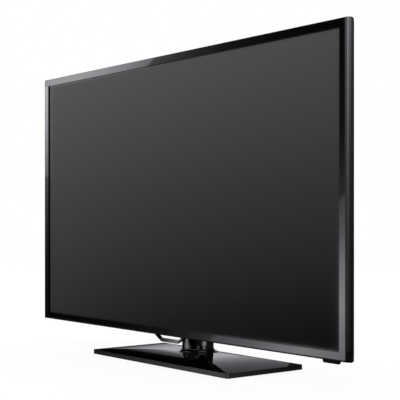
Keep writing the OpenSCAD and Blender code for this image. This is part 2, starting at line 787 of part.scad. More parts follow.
// Bays and the neck's recess in the rear cover, grown by g to leave their walls
module cover_bays(g) {
    for (bay = [socket_bay, mains_bay])
        block([bay[0] - g, bay_floor - g, -set_half.y], [bay[1] + g, set_depth + 10, bay_ceiling + g]);
    block([side_bay_x - g, bay_floor - g, side_bay_z[0] - g],
          [set_half.x, set_depth + 10, side_bay_z[1] + g]);
    block([-recess_w / 2 - g, recess_y - g, -set_half.y], [recess_w / 2 + g, set_depth + 10, recess_top + g]);
}

vent_x = floor((housing_w / 2 - 45) / vent_pitch) * vent_pitch;
vent_z = housing_top - 12 - vent_l;

module vents() {
    for (x = [-vent_x : vent_pitch : vent_x]) if (abs(abs(x) - wall_pitch / 2) > insert_r + 8)
        block([x - vent_w / 2, set_depth - cover_wall - 2, vent_z],
              [x + vent_w / 2, set_depth + eps, vent_z + vent_l]);
    for (s = [-1, 1], i = [0 : 9]) {
        x = s * (speaker_x[0] + 6 + i * (speaker_x[1] - speaker_x[0] - 12) / 9);
        block([x - 1.6, 36, -housing_bottom - housing_slope], [x + 1.6, 44, -housing_bottom + 4]);
    }
}

module rear_cover() color([0.06, 0.06, 0.065]) in_set() difference() {
    union() {
        difference() {
            cover_form(0);
            difference() {
                cover_form(cover_wall);
                cover_bays(cover_wall);
            }
            cover_bays(0);
        }
        lap_half = bezel_inner - [fixed_gap, fixed_gap];
        frame_ring(lap_half, lap_half - [lap_wall, lap_wall], ridge_depth - lap, ridge_depth + lap_wall);
        frame_ring(cover_half - [cover_wall, cover_wall] / 2, lap_half - [lap_wall, lap_wall],
                   ridge_depth, ridge_depth + lap_wall);
        intersection() {
            cover_form(0);
            for (at = cover_screws_at) rod(at, cover_post_y, set_depth, cover_head_r + 3);
        }
        intersection() {
            cover_form(0);
            at_stick() rod([0, 0], dish_y - dish_wall, set_depth, stick_dish_r + cover_wall);
        }
        at_stick() for (x = [-14, 14]) rod([x, 0], housing_y[0], dish_y, 2.2);
    }
    for (at = cover_screws_at) {
        rod(at, cover_post_y - eps, set_depth, cover_screw_r + fixed_gap);
        rod(at, cover_post_y + cover_wall, set_depth, cover_head_r + 1);
    }
    for (at = inserts_at) rod(at, set_depth - cover_wall - 2, set_depth + eps, insert_r + fixed_gap);
    for (at = neck_screws_at) rod(at, recess_y - cover_wall - eps, recess_y + eps, neck_screw_r + fixed_gap);
    at_stick() rod([0, 0], dish_y, set_depth, stick_dish_r);
    at_stick() rod([0, 0], dish_y - dish_wall - eps, dish_y + eps, cavity_r);
    vents();
    for (z = picture_socket_z) side_hole(z, picture_body);
    side_hole(memory_socket_z, memory_body);
    drop_hole(network_x, network_body);
    drop_hole(mains_x, mains_body);
    for (x = jack_x) translate([x, component_y + jack_depth, bay_ceiling - eps])
        cylinder(h = cover_wall + 2 * eps, r = jack_collar_r + fixed_gap);
    translate([tuner_x, component_y + aerial_depth, bay_ceiling - eps])
        cylinder(h = cover_wall + 2 * eps, r = aerial_r + fixed_gap);
}

module cover_screws() color(DARK) in_set() for (at = cover_screws_at) {
    rod(at, back_y + 2, cover_post_y + cover_wall + eps, cover_screw_r);
    rod(at, cover_post_y + cover_wall, cover_post_y + cover_wall + 2.2, cover_head_r);
}

// Steel tube on the swing axis with a plate that screws to the back of the set
module neck_post() color(STEEL) {
    plate_y = front_y + recess_y;
    plate_low = screen_z + plate_z[0];
    tube_top = screen_z + plate_z[1] - 20;
    difference() {
        union() {
            on_axis() drum(flange_z + flange_t, tube_top, post_tube_r);
            block([-plate_w / 2, plate_y, plate_low],
                  [plate_w / 2, plate_y + plate_t, screen_z + plate_z[1]]);
            for (x = [-14, 9]) block([x, plate_y + plate_t - eps, plate_low], [x + 5, neck_back, tube_top]);
        }
        on_axis() drum(flange_z, tube_top + eps, post_tube_r - post_tube_wall);
        in_set() for (at = neck_screws_at)
            rod(at, recess_y - eps, recess_y + plate_t + eps, neck_screw_r + run_gap);
    }
}

module neck_screws() color(DARK) in_set() for (at = neck_screws_at) {
    rod(at, recess_y - cover_wall - bracket_t - 3, recess_y + plate_t + eps, neck_screw_r);
    rod(at, recess_y + plate_t, recess_y + plate_t + 3, neck_screw_head_r);
}

// Round glossy sleeve with a flared foot and a rounded top, open in front where the plate comes through
module neck_cover() color(BLACK) difference() {
    on_axis() rotate_extrude() difference() {
        union() {
            translate([0, neck_z]) square([neck_r, neck_top - neck_z - 10]);
            translate([0, neck_top - 10]) square([neck_r - 10, 10]);
            translate([neck_r - 10, neck_top - 10]) circle(10);
            difference() {
                translate([0, neck_z]) square([neck_r + neck_flare, neck_flare + 1]);
                translate([neck_r + neck_flare, neck_z + neck_flare + 1]) circle(neck_flare);
            }
        }
        translate([-1, neck_z - eps]) square([neck_r - neck_wall + 1, neck_top - neck_z - neck_wall + eps]);
        translate([-neck_r, neck_z - eps]) square([neck_r, neck_top]);
    }
    slot_w = plate_w + 2 * fixed_gap;
    slot_y = front_y + recess_y + plate_t + 3 + fixed_gap;
    block([-slot_w / 2, front_y, screen_z - housing_bottom - 12], [slot_w / 2, slot_y, neck_top + eps]);
    block([-18, front_y, screen_z + plate_z[0] - 3], [18, neck_back, neck_top - neck_wall - 6]);
}

// Swivel: a flanged spindle turns in the bearing block and is held by a nut under the weight
module swivel_spindle() color(STEEL) on_axis() {
    drum(flange_z, flange_z + flange_t, flange_r);
    drum(weight_z + fixed_gap, flange_z + eps, spindle_r);
    translate([0, stop_at, flange_z - stop_deep + 2]) cylinder(h = stop_deep, r = stop_r);
}

module spring_washer() color(STEEL) on_axis()
    tube(block_z - fixed_gap - spring_t, block_z - fixed_gap, nut_r, spindle_r + run_gap);

module retaining_nut() color(STEEL) on_axis() difference() {
    translate([0, 0, weight_z + fixed_gap])
        cylinder(h = block_z - 2 * fixed_gap - spring_t - weight_z, r = nut_r, $fn = 6);
    drum(weight_z, block_z, spindle_r + run_gap);
}

// Arc that leaves the stop pin room to swing
module stop_slot(z0, z1) translate([0, 0, z0]) {
    rotate([0, 0, 90 - swing]) rotate_extrude(angle = 2 * swing)
        translate([stop_at - stop_r - fixed_gap, 0]) square([2 * stop_r + 2 * fixed_gap, z1 - z0]);
    for (s = [-1, 1]) rotate([0, 0, s * swing]) translate([0, stop_at, 0])
        cylinder(h = z1 - z0, r = stop_r + fixed_gap);
}

module thrust_washer() color(CREAM) on_axis() difference() {
    tube(washer_z, washer_z + washer_t, flange_r, spindle_r + fixed_gap);
    stop_slot(washer_z - eps, washer_z + washer_t + eps);
}

module bearing_block() color(STEEL) on_axis() difference() {
    tube(block_z, washer_z, block_r, spindle_r + run_gap);
    stop_slot(flange_z - stop_deep, washer_z + eps);
}

// Deck of the base: two shallow barrel vaults crossed, so that four curved faces meet on hips
function vault_r(half, rise) = (half * half + rise * rise) / (2 * rise);

module vault(half, edge, rise, wide) {
    r = vault_r(half, rise);
    translate([-wide, 0, edge + rise - r]) rotate([0, 90, 0]) cylinder(h = 2 * wide, r = r, $fn = 200);
}

module deck_form(g) intersection() {
    translate([0, 0, deck_z - (g > 0 ? eps : 0)]) linear_extrude(60)
        rounded_square(base_half - [g, g], base_corner > g ? base_corner - g : 0.5);
    vault(base_half.y, edge_z - g, base_crown, base_half.x);
    rotate([0, 0, 90]) vault(base_half.x, edge_z - g, base_crown, base_half.y);
}

module base_deck() color(BLACK) difference() {
    union() {
        difference() {
            deck_form(0);
            deck_form(deck_wall);
        }
        on_axis() tube(crown_z - 8, crown_z, pad_r, block_r + fixed_gap);
    }
    on_axis() drum(deck_z, crown_z + eps, block_r + fixed_gap);
}

module base_weight() color(STEEL) difference() {
    translate([0, 0, weight_z]) linear_extrude(weight_t) rounded_square(weight_half, base_corner);
    on_axis() drum(weight_z - eps, block_z + eps, nut_r + 3);
    for (at = base_screws_at) translate([at.x, at.y, weight_z - eps])
        cylinder(h = weight_t + 2 * eps, r = base_screw_r + run_gap);
}

module base_floor() color(DARK) difference() {
    translate([0, 0, foot_h]) linear_extrude(floor_t)
        rounded_square(base_half - [deck_wall + fixed_gap, deck_wall + fixed_gap], base_corner / 2);
    for (at = base_screws_at) translate([at.x, at.y, 0])
        cylinder(h = weight_z + eps, r = base_screw_r + run_gap);
    for (at = feet_at) translate([at.x, at.y, 0]) cylinder(h = foot_h + foot_sunk, r = foot_r + run_gap);
}

module base_feet() color(DARK) for (at = feet_at) translate([at.x, at.y, 0])
    cylinder(h = foot_h + foot_sunk, r = foot_r);

module base_screws() color(STEEL) for (at = base_screws_at) translate([at.x, at.y, 0]) {
    translate([0, 0, foot_h - 1]) cylinder(h = 1, r = 2 * base_screw_r);
    translate([0, 0, foot_h - eps]) cylinder(h = floor_t + weight_t, r = base_screw_r);
}

front_bezel();
centre_tab();
sensor_window();
sensor_board();
display_cell();
middle_frame();
prism_sheet();
diffuser_sheet();
light_guide();
reflector_sheet();
lamp_strip();
lamp_chips();
chassis();
source_boards();
driver_films();
timing_board();
panel_ribbon();
main_board();
processor_heatsink();
tuner_can();
aerial_socket();
picture_sockets();
memory_socket();
network_socket();
audio_video_jacks();
power_board();
transformers();
capacitors();
power_heatsinks();
mains_inlet();
board_screws();
speaker_boxes();
speaker_cones();
stick_board();
stick_housing();
stick_gimbal();
control_stick();
stick_cap();
stand_bracket();
wall_inserts();
rear_cover();
cover_screws();
neck_post();
neck_screws();
neck_cover();
swivel_spindle();
retaining_nut();
spring_washer();
thrust_washer();
bearing_block();
base_deck();
base_weight();
base_floor();
base_feet();
base_screws();
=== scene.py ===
"""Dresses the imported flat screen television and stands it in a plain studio."""

import json
import logging
import math
from collections.abc import Callable, Iterator, Sequence
from contextlib import contextmanager
from dataclasses import dataclass
from enum import Enum

import bmesh
import bpy
from mathutils import Matrix, Vector


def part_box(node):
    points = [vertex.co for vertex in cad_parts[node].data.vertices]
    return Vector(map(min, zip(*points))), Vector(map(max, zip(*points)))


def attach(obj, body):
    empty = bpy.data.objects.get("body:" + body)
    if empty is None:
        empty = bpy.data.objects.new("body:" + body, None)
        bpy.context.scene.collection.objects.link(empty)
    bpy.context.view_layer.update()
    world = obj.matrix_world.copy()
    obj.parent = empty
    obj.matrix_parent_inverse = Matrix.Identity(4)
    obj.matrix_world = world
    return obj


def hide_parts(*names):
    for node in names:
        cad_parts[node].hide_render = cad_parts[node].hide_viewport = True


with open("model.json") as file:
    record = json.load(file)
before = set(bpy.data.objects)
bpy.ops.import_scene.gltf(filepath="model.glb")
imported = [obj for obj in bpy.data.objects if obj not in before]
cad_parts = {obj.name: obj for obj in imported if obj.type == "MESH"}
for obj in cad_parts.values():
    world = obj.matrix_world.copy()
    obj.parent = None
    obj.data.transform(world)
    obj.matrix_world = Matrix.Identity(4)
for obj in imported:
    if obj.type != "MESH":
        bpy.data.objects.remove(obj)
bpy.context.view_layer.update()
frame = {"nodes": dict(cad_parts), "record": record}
LOG = logging.getLogger("television")
MM = 0.001
QUARTER_TURN = math.pi / 2
ORIGIN = Vector((0, 0, 0))

Material = bpy.types.Material
NodeTree = bpy.types.NodeTree
Piece = bpy.types.Object
Socket = bpy.types.NodeSocket


class Body(Enum):
    """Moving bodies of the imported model."""

    STAND = "stand_base"
    SET = "set"


class Slot(Enum):
    """Material slots of the record."""

    GLOSS_BLACK = "gloss_black"
    MATT_BLACK = "matt_black"
    SCREEN = "screen_glass"
    LENS = "smoked_lens"
    INNER = "inner_plastic"
    ACRYLIC = "clear_acrylic"
    WHITE_FILM = "white_film"
    AMBER_FILM = "amber_film"
    BOARD_GREEN = "board_green"
    BOARD_TAN = "board_tan"
    ZINC = "zinc_steel"
    BRIGHT = "bright_steel"
    BLACK_SCREW = "black_screw"
    FINS = "fin_aluminium"
    BRASS = "plated_brass"
    WINDING = "ferrite_yellow"
    SLEEVE = "capacitor_navy"
    NYLON = "nylon"
    RUBBER = "foot_rubber"


class NodeBench:
    """A material's node tree with its surface shader in place."""

    def __init__(self, name: str) -> None:
        """Starts a material with one surface shader.

        Args:
            name: The material's name.
        """
        self.material = bpy.data.materials.new(name)
        self.material.use_nodes = True
        self.tree = self.material.node_tree
        self.tree.nodes.clear()
        self.surface = self.tree.nodes.new("ShaderNodeBsdfPrincipled")
        output = self.tree.nodes.new("ShaderNodeOutputMaterial")
        self.tree.links.new(self.surface.outputs["BSDF"], output.inputs["Surface"])
        self.coords = self.tree.nodes.new("ShaderNodeTexCoord").outputs["Object"]

    def put(self, **values: object) -> None:
        """Sets sockets of the surface shader, with underscores for spaces in their names."""
        for name, value in values.items():
            self.surface.inputs[name.replace("_", " ")].default_value = value

    def feed(self, source: Socket, socket: str) -> None:
        """Links a node's output into a socket of the surface shader."""
        self.tree.links.new(source, self.surface.inputs[socket])

    def node(self, kind: str, **inputs: object) -> bpy.types.Node:
        """Adds a node and sets or links its inputs.

        Args:
            kind: The node's type name.
            inputs: A value or an output socket for each input, with underscores for spaces.

        Returns:
            The new node.
        """
        made = self.tree.nodes.new(kind)
        for name, value in inputs.items():
            socket = made.inputs[name.replace("_", " ")]
            if isinstance(value, Socket):
                self.tree.links.new(value, socket)
            else:
                socket.default_value = value
        return made

    def stretched(self, scale: Sequence[float]) -> Socket:
        """Returns the object coordinates stretched by a scale along each axis."""
        return self.node("ShaderNodeMapping", Vector=self.coords, Scale=scale).outputs["Vector"]

    def noise(self, scale: float, detail: float, vector: Socket | None = None) -> Socket:
        """Returns a noise value between 0 and 1.

        Args:
            scale: Cells to the metre.
            detail: Octaves of finer noise.
            vector: Coordinates in place of the plain object ones.

        Returns:
            The noise texture's value.
        """
        vector = vector or self.coords
        return self.node("ShaderNodeTexNoise", Vector=vector, Scale=scale, Detail=detail).outputs["Fac"]

    def between(self, value: Socket, low: float, high: float) -> Socket:
        """Returns a 0 to 1 value spread over a range."""
        return self.node("ShaderNodeMapRange", Value=value, To_Min=low, To_Max=high).outputs["Result"]

    def tint(self, value: Socket, low: Sequence[float], high: Sequence[float]) -> Socket:
        """Adds a colour that changes with a value.

        Args:
            value: A value between 0 and 1.
            low: The colour at 0.
            high: The colour at 1.

        Returns:
            The colour.
        """
        ramp = self.tree.nodes.new("ShaderNodeValToRGB")
        ramp.color_ramp.elements[0].color = (*low, 1.0)
        ramp.color_ramp.elements[1].color = (*high, 1.0)
        self.tree.links.new(value, ramp.inputs["Fac"])
        return ramp.outputs["Color"]

    def bump(self, height: Socket, depth: float, strength: float) -> None:
        """Feeds a height in metres times depth into the surface's normal."""
        bump = self.node("ShaderNodeBump", Height=height, Distance=depth, Strength=strength)
        self.feed(bump.outputs["Normal"], "Normal")


def reckon(tree: NodeTree, operation: str, *values: Socket | float) -> Socket:
    """Adds a math node and sets or links its inputs.

    Args:
        tree: The node tree.
        operation: The sum that the node does.
        values: A number or an output socket for each input.

    Returns:
        The node's result.
    """
    node = tree.nodes.new("ShaderNodeMath")
    node.operation = operation
    for socket, value in zip(node.inputs, values):
        if isinstance(value, Socket):
            tree.links.new(value, socket)
        else:
            socket.default_value = value
    return node.outputs["Value"]


def shade(colour: Sequence[float], factor: float) -> tuple[float, float, float]:
    """Returns a colour made lighter or darker by a factor."""
    return tuple(min(1.0, channel * factor) for channel in colour)


@dataclass(frozen=True)
class Moulding:
    """Moulded plastic or rubber, from polished to spark-eroded."""

    name: str
    colour: tuple[float, float, float]
    roughness: tuple[float, float]
    grain: float
    grain_depth: float
    spread: float = 0.12
    specular: float = 0.5
    cloud: tuple[float, float] = (9.0, 4.0)
    smear: tuple[float, float] = (38.0, 5.0)
    grain_detail: float = 2.0
    grain_strength: float = 0.6

    def make(self) -> Material:
        """Mixes the plastic with its grain and uneven sheen.

        Returns:
            The material.
        """
        bench = NodeBench(self.name)
        cloud = bench.noise(*self.cloud)
        low, high = shade(self.colour, 1 - self.spread), shade(self.colour, 1 + self.spread)
        bench.feed(bench.tint(cloud, low, high), "Base Color")
        bench.feed(bench.between(bench.noise(*self.smear), *self.roughness), "Roughness")
        bench.bump(bench.noise(self.grain, self.grain_detail), self.grain_depth, self.grain_strength)
        bench.put(IOR=1.5, Specular_IOR_Level=self.specular)
        return bench.material


@dataclass(frozen=True)
class Metal:
    """Bare or plated metal with marks drawn out along one axis."""

    name: str
    colour: tuple[float, float, float]
    roughness: tuple[float, float]
    drawn: tuple[float, float, float]
    marks: tuple[float, float] = (600.0, 3.0)
    mark_depth: float = 0.02 * MM
    mark_strength: float = 0.4
    darkest: float = 0.82
    lightest: float = 1.1

    def make(self) -> Material:
        """Mixes the metal with its drawn marks.

        Returns:
            The material.
        """
        bench = NodeBench(self.name)
        marks = bench.noise(*self.marks, bench.stretched(self.drawn))
        low, high = shade(self.colour, self.darkest), shade(self.colour, self.lightest)
        bench.feed(bench.tint(marks, low, high), "Base Color")
        bench.feed(bench.between(marks, *self.roughness), "Roughness")
        bench.bump(marks, self.mark_depth, self.mark_strength)
        bench.put(Metallic=1.0)
        return bench.material


@dataclass(frozen=True)
class Galvanised:
    """Zinc-coated sheet with its crystal spangle."""

    name: str
    colour: tuple[float, float, float]
    crystal: float
    roughness: tuple[float, float] = (0.32, 0.5)
    darkest: float = 0.8
    lightest: float = 1.1

    def make(self) -> Material:
        """Mixes the zinc with its patchwork of crystals.

        Returns:
            The material.
        """
        bench = NodeBench(self.name)
        cells = bench.node("ShaderNodeTexVoronoi", Vector=bench.coords, Scale=1.0 / self.crystal)
        tone = bench.node("ShaderNodeSeparateColor", Color=cells.outputs["Color"]).outputs["Red"]
        low, high = shade(self.colour, self.darkest), shade(self.colour, self.lightest)
        bench.feed(bench.tint(tone, low, high), "Base Color")
        bench.feed(bench.between(tone, *self.roughness), "Roughness")
        bench.put(Metallic=1.0)
        return bench.material


@dataclass(frozen=True)
class CircuitBoard:
    """Solder mask over a maze of copper tracks."""

    name: str
    colour: tuple[float, float, float]
    pitch: float
    track_height: float = 0.04 * MM
    track_strength: float = 0.5
    track_tone: float = 1.5
    gap_tone: float = 0.8
    roughness: float = 0.35

    def make(self) -> Material:
        """Mixes the board with raised tracks in a lighter tone.

        Returns:
            The material.
        """
        bench = NodeBench(self.name)
        cells = bench.node("ShaderNodeTexVoronoi", Vector=bench.coords, Scale=1.0 / self.pitch)
        cells.distance = "MANHATTAN"
        tracks = bench.between(cells.outputs["Distance"], 0.0, 1.0)
        low, high = shade(self.colour, self.track_tone), shade(self.colour, self.gap_tone)
        bench.feed(bench.tint(tracks, low, high), "Base Color")
        bench.bump(tracks, self.track_height, self.track_strength)
        bench.put(Roughness=self.roughness)
        return bench.material


@dataclass(frozen=True)
class AntiGlare:
    """Matt polariser over the picture, with a black border round it."""

    name: str
    picture: tuple[float, float]
    middle_z: float
    haze: float
    grain: float
    border: tuple[float, float, float] = (0.0006, 0.0006, 0.0007)
    field: tuple[float, float, float] = (0.0011, 0.0011, 0.0012)
    haze_spread: float = 0.01
    haze_noise: tuple[float, float] = (60.0, 3.0)
    grain_depth: float = 0.001 * MM
    grain_strength: float = 0.25

    def make(self) -> Material:
        """Mixes the polariser with its fine haze and smooth border.

        Returns:
            The material.
        """
        bench = NodeBench(self.name)
        place = bench.node("ShaderNodeSeparateXYZ", Vector=bench.coords)
        across = self.inside(bench, place.outputs["X"], 0.0, self.picture[0])
        up = self.inside(bench, place.outputs["Z"], self.middle_z, self.picture[1])
        lit = reckon(bench.tree, "MULTIPLY", across, up)
        bench.feed(bench.tint(lit, self.border, self.field), "Base Color")
        clear, dull = self.haze - self.haze_spread, self.haze + self.haze_spread
        bench.feed(bench.between(bench.noise(*self.haze_noise), clear, dull), "Roughness")
        bench.bump(bench.noise(self.grain, 1.0), self.grain_depth, self.grain_strength)
        bench.put(IOR=1.5)
        return bench.material

    @staticmethod
    def inside(bench: NodeBench, value: Socket, middle: float, half: float) -> Socket:
        """Returns 1 where a coordinate is within half of the middle, and 0 outside."""
        return reckon(bench.tree, "COMPARE", value, middle, half)


class Bench:
    """Mesh tools that work as a modeller does by hand."""

    @staticmethod
    def clear() -> None:
        """Leaves edit mode and deselects everything."""
        if bpy.context.object and bpy.context.object.mode != "OBJECT":
            bpy.ops.object.mode_set(mode="OBJECT")
        for other in list(bpy.context.selected_objects):
            other.select_set(False)

    @classmethod
    def only(cls, piece: Piece) -> None:
        """Selects one object and makes it the active one.

        Args:
            piece: The object.
        """
        cls.clear()
        piece.select_set(True)
        bpy.context.view_layer.objects.active = piece

    @classmethod
    def start(cls, name: str, primitive: Callable, **sizes: object) -> Piece:
        """Adds a primitive at its size and place.

        Args:
            name: The piece's name.
            primitive: The operator that adds it.
            sizes: The operator's own settings.

        Returns:
            The new object, with its transform applied to its mesh.
        """
        cls.clear()
        primitive(**sizes)
        piece = bpy.context.object
        piece.name = name
        piece.data.name = name
        bpy.ops.object.transform_apply(location=True, rotation=True, scale=True)
        return piece

    @classmethod
    def cube(cls, name: str, low: Sequence[float], high: Sequence[float]) -> Piece:
        """Returns a box between two corners."""
        low, high = Vector(low), Vector(high)
        return cls.start(name, bpy.ops.mesh.primitive_cube_add, size=1.0, location=(low + high) / 2,
                         scale=high - low)

    @classmethod
    @contextmanager
    def editing(cls, piece: Piece, kind: str = "FACE") -> Iterator[bmesh.types.BMesh]:
        """Opens a piece in edit mode with nothing selected, and closes it again.

        Args:
            piece: The object to edit.
            kind: What is selected: VERT, EDGE or FACE.

        Returns:
            A context that gives the mesh being edited.
        """
        cls.only(piece)
        bpy.ops.object.mode_set(mode="EDIT")
        bpy.ops.mesh.select_mode(type=kind)
        bpy.ops.mesh.select_all(action="DESELECT")
        yield bmesh.from_edit_mesh(piece.data)
        bpy.ops.object.mode_set(mode="OBJECT")

    @staticmethod
    def pick(piece: Piece, mesh: bmesh.types.BMesh, parts: Sequence, test: Callable) -> None:
        """Selects the faces, edges or vertices that pass a test.

        Args:
            piece: The object being edited.
            mesh: Its mesh.
            parts: The faces, edges or vertices to choose from.
            test: Tells whether one of them is selected.
        """
        for part in parts:
            part.select_set(bool(test(part)))
        mesh.select_flush_mode()
        bmesh.update_edit_mesh(piece.data)

    @classmethod
    def modify(cls, piece: Piece, kind: str, **settings: object) -> None:
        """Adds a modifier and applies it.

        Args:
            piece: The object to modify.
            kind: The modifier's type name.
            settings: The modifier's own settings.
        """
        cls.only(piece)
        modifier = piece.modifiers.new(kind.lower(), kind)
        for name, value in settings.items():
            setattr(modifier, name, value)
        bpy.ops.object.modifier_apply(modifier=modifier.name)

    @classmethod
    def combine(cls, piece: Piece, tool: Piece, operation: str) -> None:
        """Cuts, joins or intersects a piece with a tool, and deletes the tool."""
        cls.modify(piece, "BOOLEAN", object=tool, operation=operation, solver="EXACT")
        bpy.data.objects.remove(tool, do_unlink=True)

    @classmethod
    def lathe(cls, name: str, at: Vector, rings: Sequence[tuple[float, float]], steps: int) -> Piece:
        """Draws a round piece out of a circle, ring by ring, and closes its last ring.

        Args:
            name: The piece's name.
            at: A point on the upright axis.
            rings: Radius and height of each ring.
            steps: Sides of each ring.

        Returns:
            The piece, open at its first ring.
        """
        radius, height = rings[0]
        piece = cls.start(name, bpy.ops.mesh.primitive_circle_add, vertices=steps, radius=radius,
                          location=(at.x, at.y, height))
        with cls.editing(piece, "VERT"):
            bpy.ops.mesh.select_all(action="SELECT")
            for wide, high in rings[1:]:
                bpy.ops.mesh.extrude_region_move(TRANSFORM_OT_translate={"value": (0, 0, high - height)})
                share = wide / radius
                bpy.ops.transform.resize(value=(share, share, 1), center_override=(at.x, at.y, high))
                radius, height = wide, high
            bpy.ops.mesh.edge_face_add()
            bpy.ops.mesh.select_all(action="SELECT")
            bpy.ops.mesh.normals_make_consistent(inside=False)
        return piece

    @classmethod
    def close(cls, piece: Piece) -> None:
        """Caps every open rim of a piece and turns its faces outwards.

        Args:
            piece: The object to close.
        """
        with cls.editing(piece, "EDGE"):
            bpy.ops.mesh.select_non_manifold()
            bpy.ops.mesh.edge_face_add()
            bpy.ops.mesh.select_all(action="SELECT")
            bpy.ops.mesh.normals_make_consistent(inside=False)

    @classmethod
    def turned(cls, piece: Piece, turn: Sequence[float]) -> None:
        """Turns a piece about the origin, in its mesh.

        Args:
            piece: The object to turn.
            turn: Its turn about each axis, in radians.
        """
        cls.only(piece)
        piece.rotation_euler = turn
        bpy.ops.object.transform_apply(location=True, rotation=True, scale=True)

    @classmethod
    def spread(cls, piece: Piece, places: Sequence[Vector]) -> Piece:
        """Copies a piece to each place and joins the copies.

        Args:
            piece: The piece, modelled about the origin.
            places: Where each copy goes.

        Returns:
            One object that holds all the copies.
        """
        copies = []
        for place in places:
            copy = piece.copy()
            copy.data = piece.data.copy()
            copy.data.transform(Matrix.Translation(place))
            bpy.context.scene.collection.objects.link(copy)
            copies.append(copy)
        name = piece.name
        bpy.data.objects.remove(piece, do_unlink=True)
        cls.only(copies[0])
        for copy in copies[1:]:
            copy.select_set(True)
        bpy.ops.object.join()
        copies[0].name = name
        return copies[0]

    @classmethod
    def smooth(cls, piece: Piece, angle: float) -> None:
        """Shades a piece smooth up to an angle in degrees."""
        cls.only(piece)
        bpy.ops.object.shade_smooth_by_angle(angle=math.radians(angle))


@dataclass
class Finishes:
    """All finishes by slot, made once."""

    made: dict[Slot, Material]

    @classmethod
    def mix(cls, picture: tuple[float, float], middle_z: float) -> "Finishes":
        """Makes every finish.

        Args:
            picture: Half width and half height of the picture.
            middle_z: Height of the picture's middle.

        Returns:
            The finishes by slot.
        """
        recipes = {
            Slot.GLOSS_BLACK: Moulding("piano_black", (0.0009, 0.0009, 0.001), (0.012, 0.022), 220.0,
                                       0.0000015),
            Slot.MATT_BLACK: Moulding("spark_black", (0.011, 0.011, 0.012), (0.5, 0.62), 2600.0, 0.00008,
                                      specular=0.3),
            Slot.SCREEN: AntiGlare("anti_glare", picture, middle_z, 0.035, 5200.0),
            Slot.LENS: Moulding("smoked_lens", (0.006, 0.003, 0.003), (0.03, 0.06), 300.0, 0.000002,
                                specular=0.1),
            Slot.INNER: Moulding("inner_plastic", (0.06, 0.06, 0.064), (0.45, 0.6), 1800.0, 0.00005),
            Slot.ACRYLIC: Moulding("clear_acrylic", (0.78, 0.86, 0.88), (0.05, 0.1), 200.0, 0.000002),
            Slot.WHITE_FILM: Moulding("white_film", (0.85, 0.85, 0.84), (0.4, 0.55), 2000.0, 0.00001, 0.03),
            Slot.AMBER_FILM: Moulding("amber_film", (0.45, 0.28, 0.1), (0.25, 0.4), 900.0, 0.00001),
            Slot.BOARD_GREEN: CircuitBoard("board_green", (0.03, 0.17, 0.08), 0.006),
            Slot.BOARD_TAN: CircuitBoard("board_tan", (0.48, 0.36, 0.18), 0.009),
            Slot.ZINC: Galvanised("zinc_steel", (0.56, 0.57, 0.58), 0.007),
            Slot.BRIGHT: Metal("bright_steel", (0.62, 0.62, 0.63), (0.22, 0.38), (1.0, 1.0, 0.08)),
            Slot.BLACK_SCREW: Metal("black_screw", (0.035, 0.035, 0.037), (0.35, 0.5), (1.0, 0.2, 1.0)),
            Slot.FINS: Metal("fin_aluminium", (0.7, 0.7, 0.71), (0.3, 0.42), (1.0, 1.0, 0.05)),
            Slot.BRASS: Metal("plated_brass", (0.7, 0.54, 0.23), (0.18, 0.3), (1.0, 1.0, 0.1)),
            Slot.WINDING: Moulding("winding_tape", (0.66, 0.5, 0.12), (0.4, 0.5), 700.0, 0.00004),
            Slot.SLEEVE: Moulding("shrink_sleeve", (0.04, 0.05, 0.14), (0.2, 0.3), 400.0, 0.00001),
            Slot.NYLON: Moulding("nylon", (0.8, 0.79, 0.74), (0.4, 0.5), 900.0, 0.00001, 0.03),
            Slot.RUBBER: Moulding("foot_rubber", (0.03, 0.03, 0.03), (0.7, 0.85), 3000.0, 0.00006),
        }
        return cls({slot: recipe.make() for slot, recipe in recipes.items()})

    def dress(self, piece: Piece, slot: Slot) -> None:
        """Gives a piece the finish of a slot."""
        piece.data.materials.clear()
        piece.data.materials.append(self.made[slot])

    def dress_nodes(self) -> None:
        """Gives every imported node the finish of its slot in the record."""
        for row in frame["record"]["subparts"]:
            self.dress(frame["nodes"][row["node"]], Slot(row["material_slot"]))

    def settle(self, piece: Piece, body: Body, slot: Slot, *nodes: str) -> None:
        """Dresses a new piece, ties it to its body and hides the nodes that it stands for.

        Args:
            piece: The new piece.
            body: The body that it rides on.
            slot: The slot of its finish.
            nodes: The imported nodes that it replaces.
        """
        self.dress(piece, slot)
        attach(piece, body.value)
        if nodes:
            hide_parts(*nodes)
        LOG.info("%s: %d faces on %s", piece.name, len(piece.data.polygons), body.value)


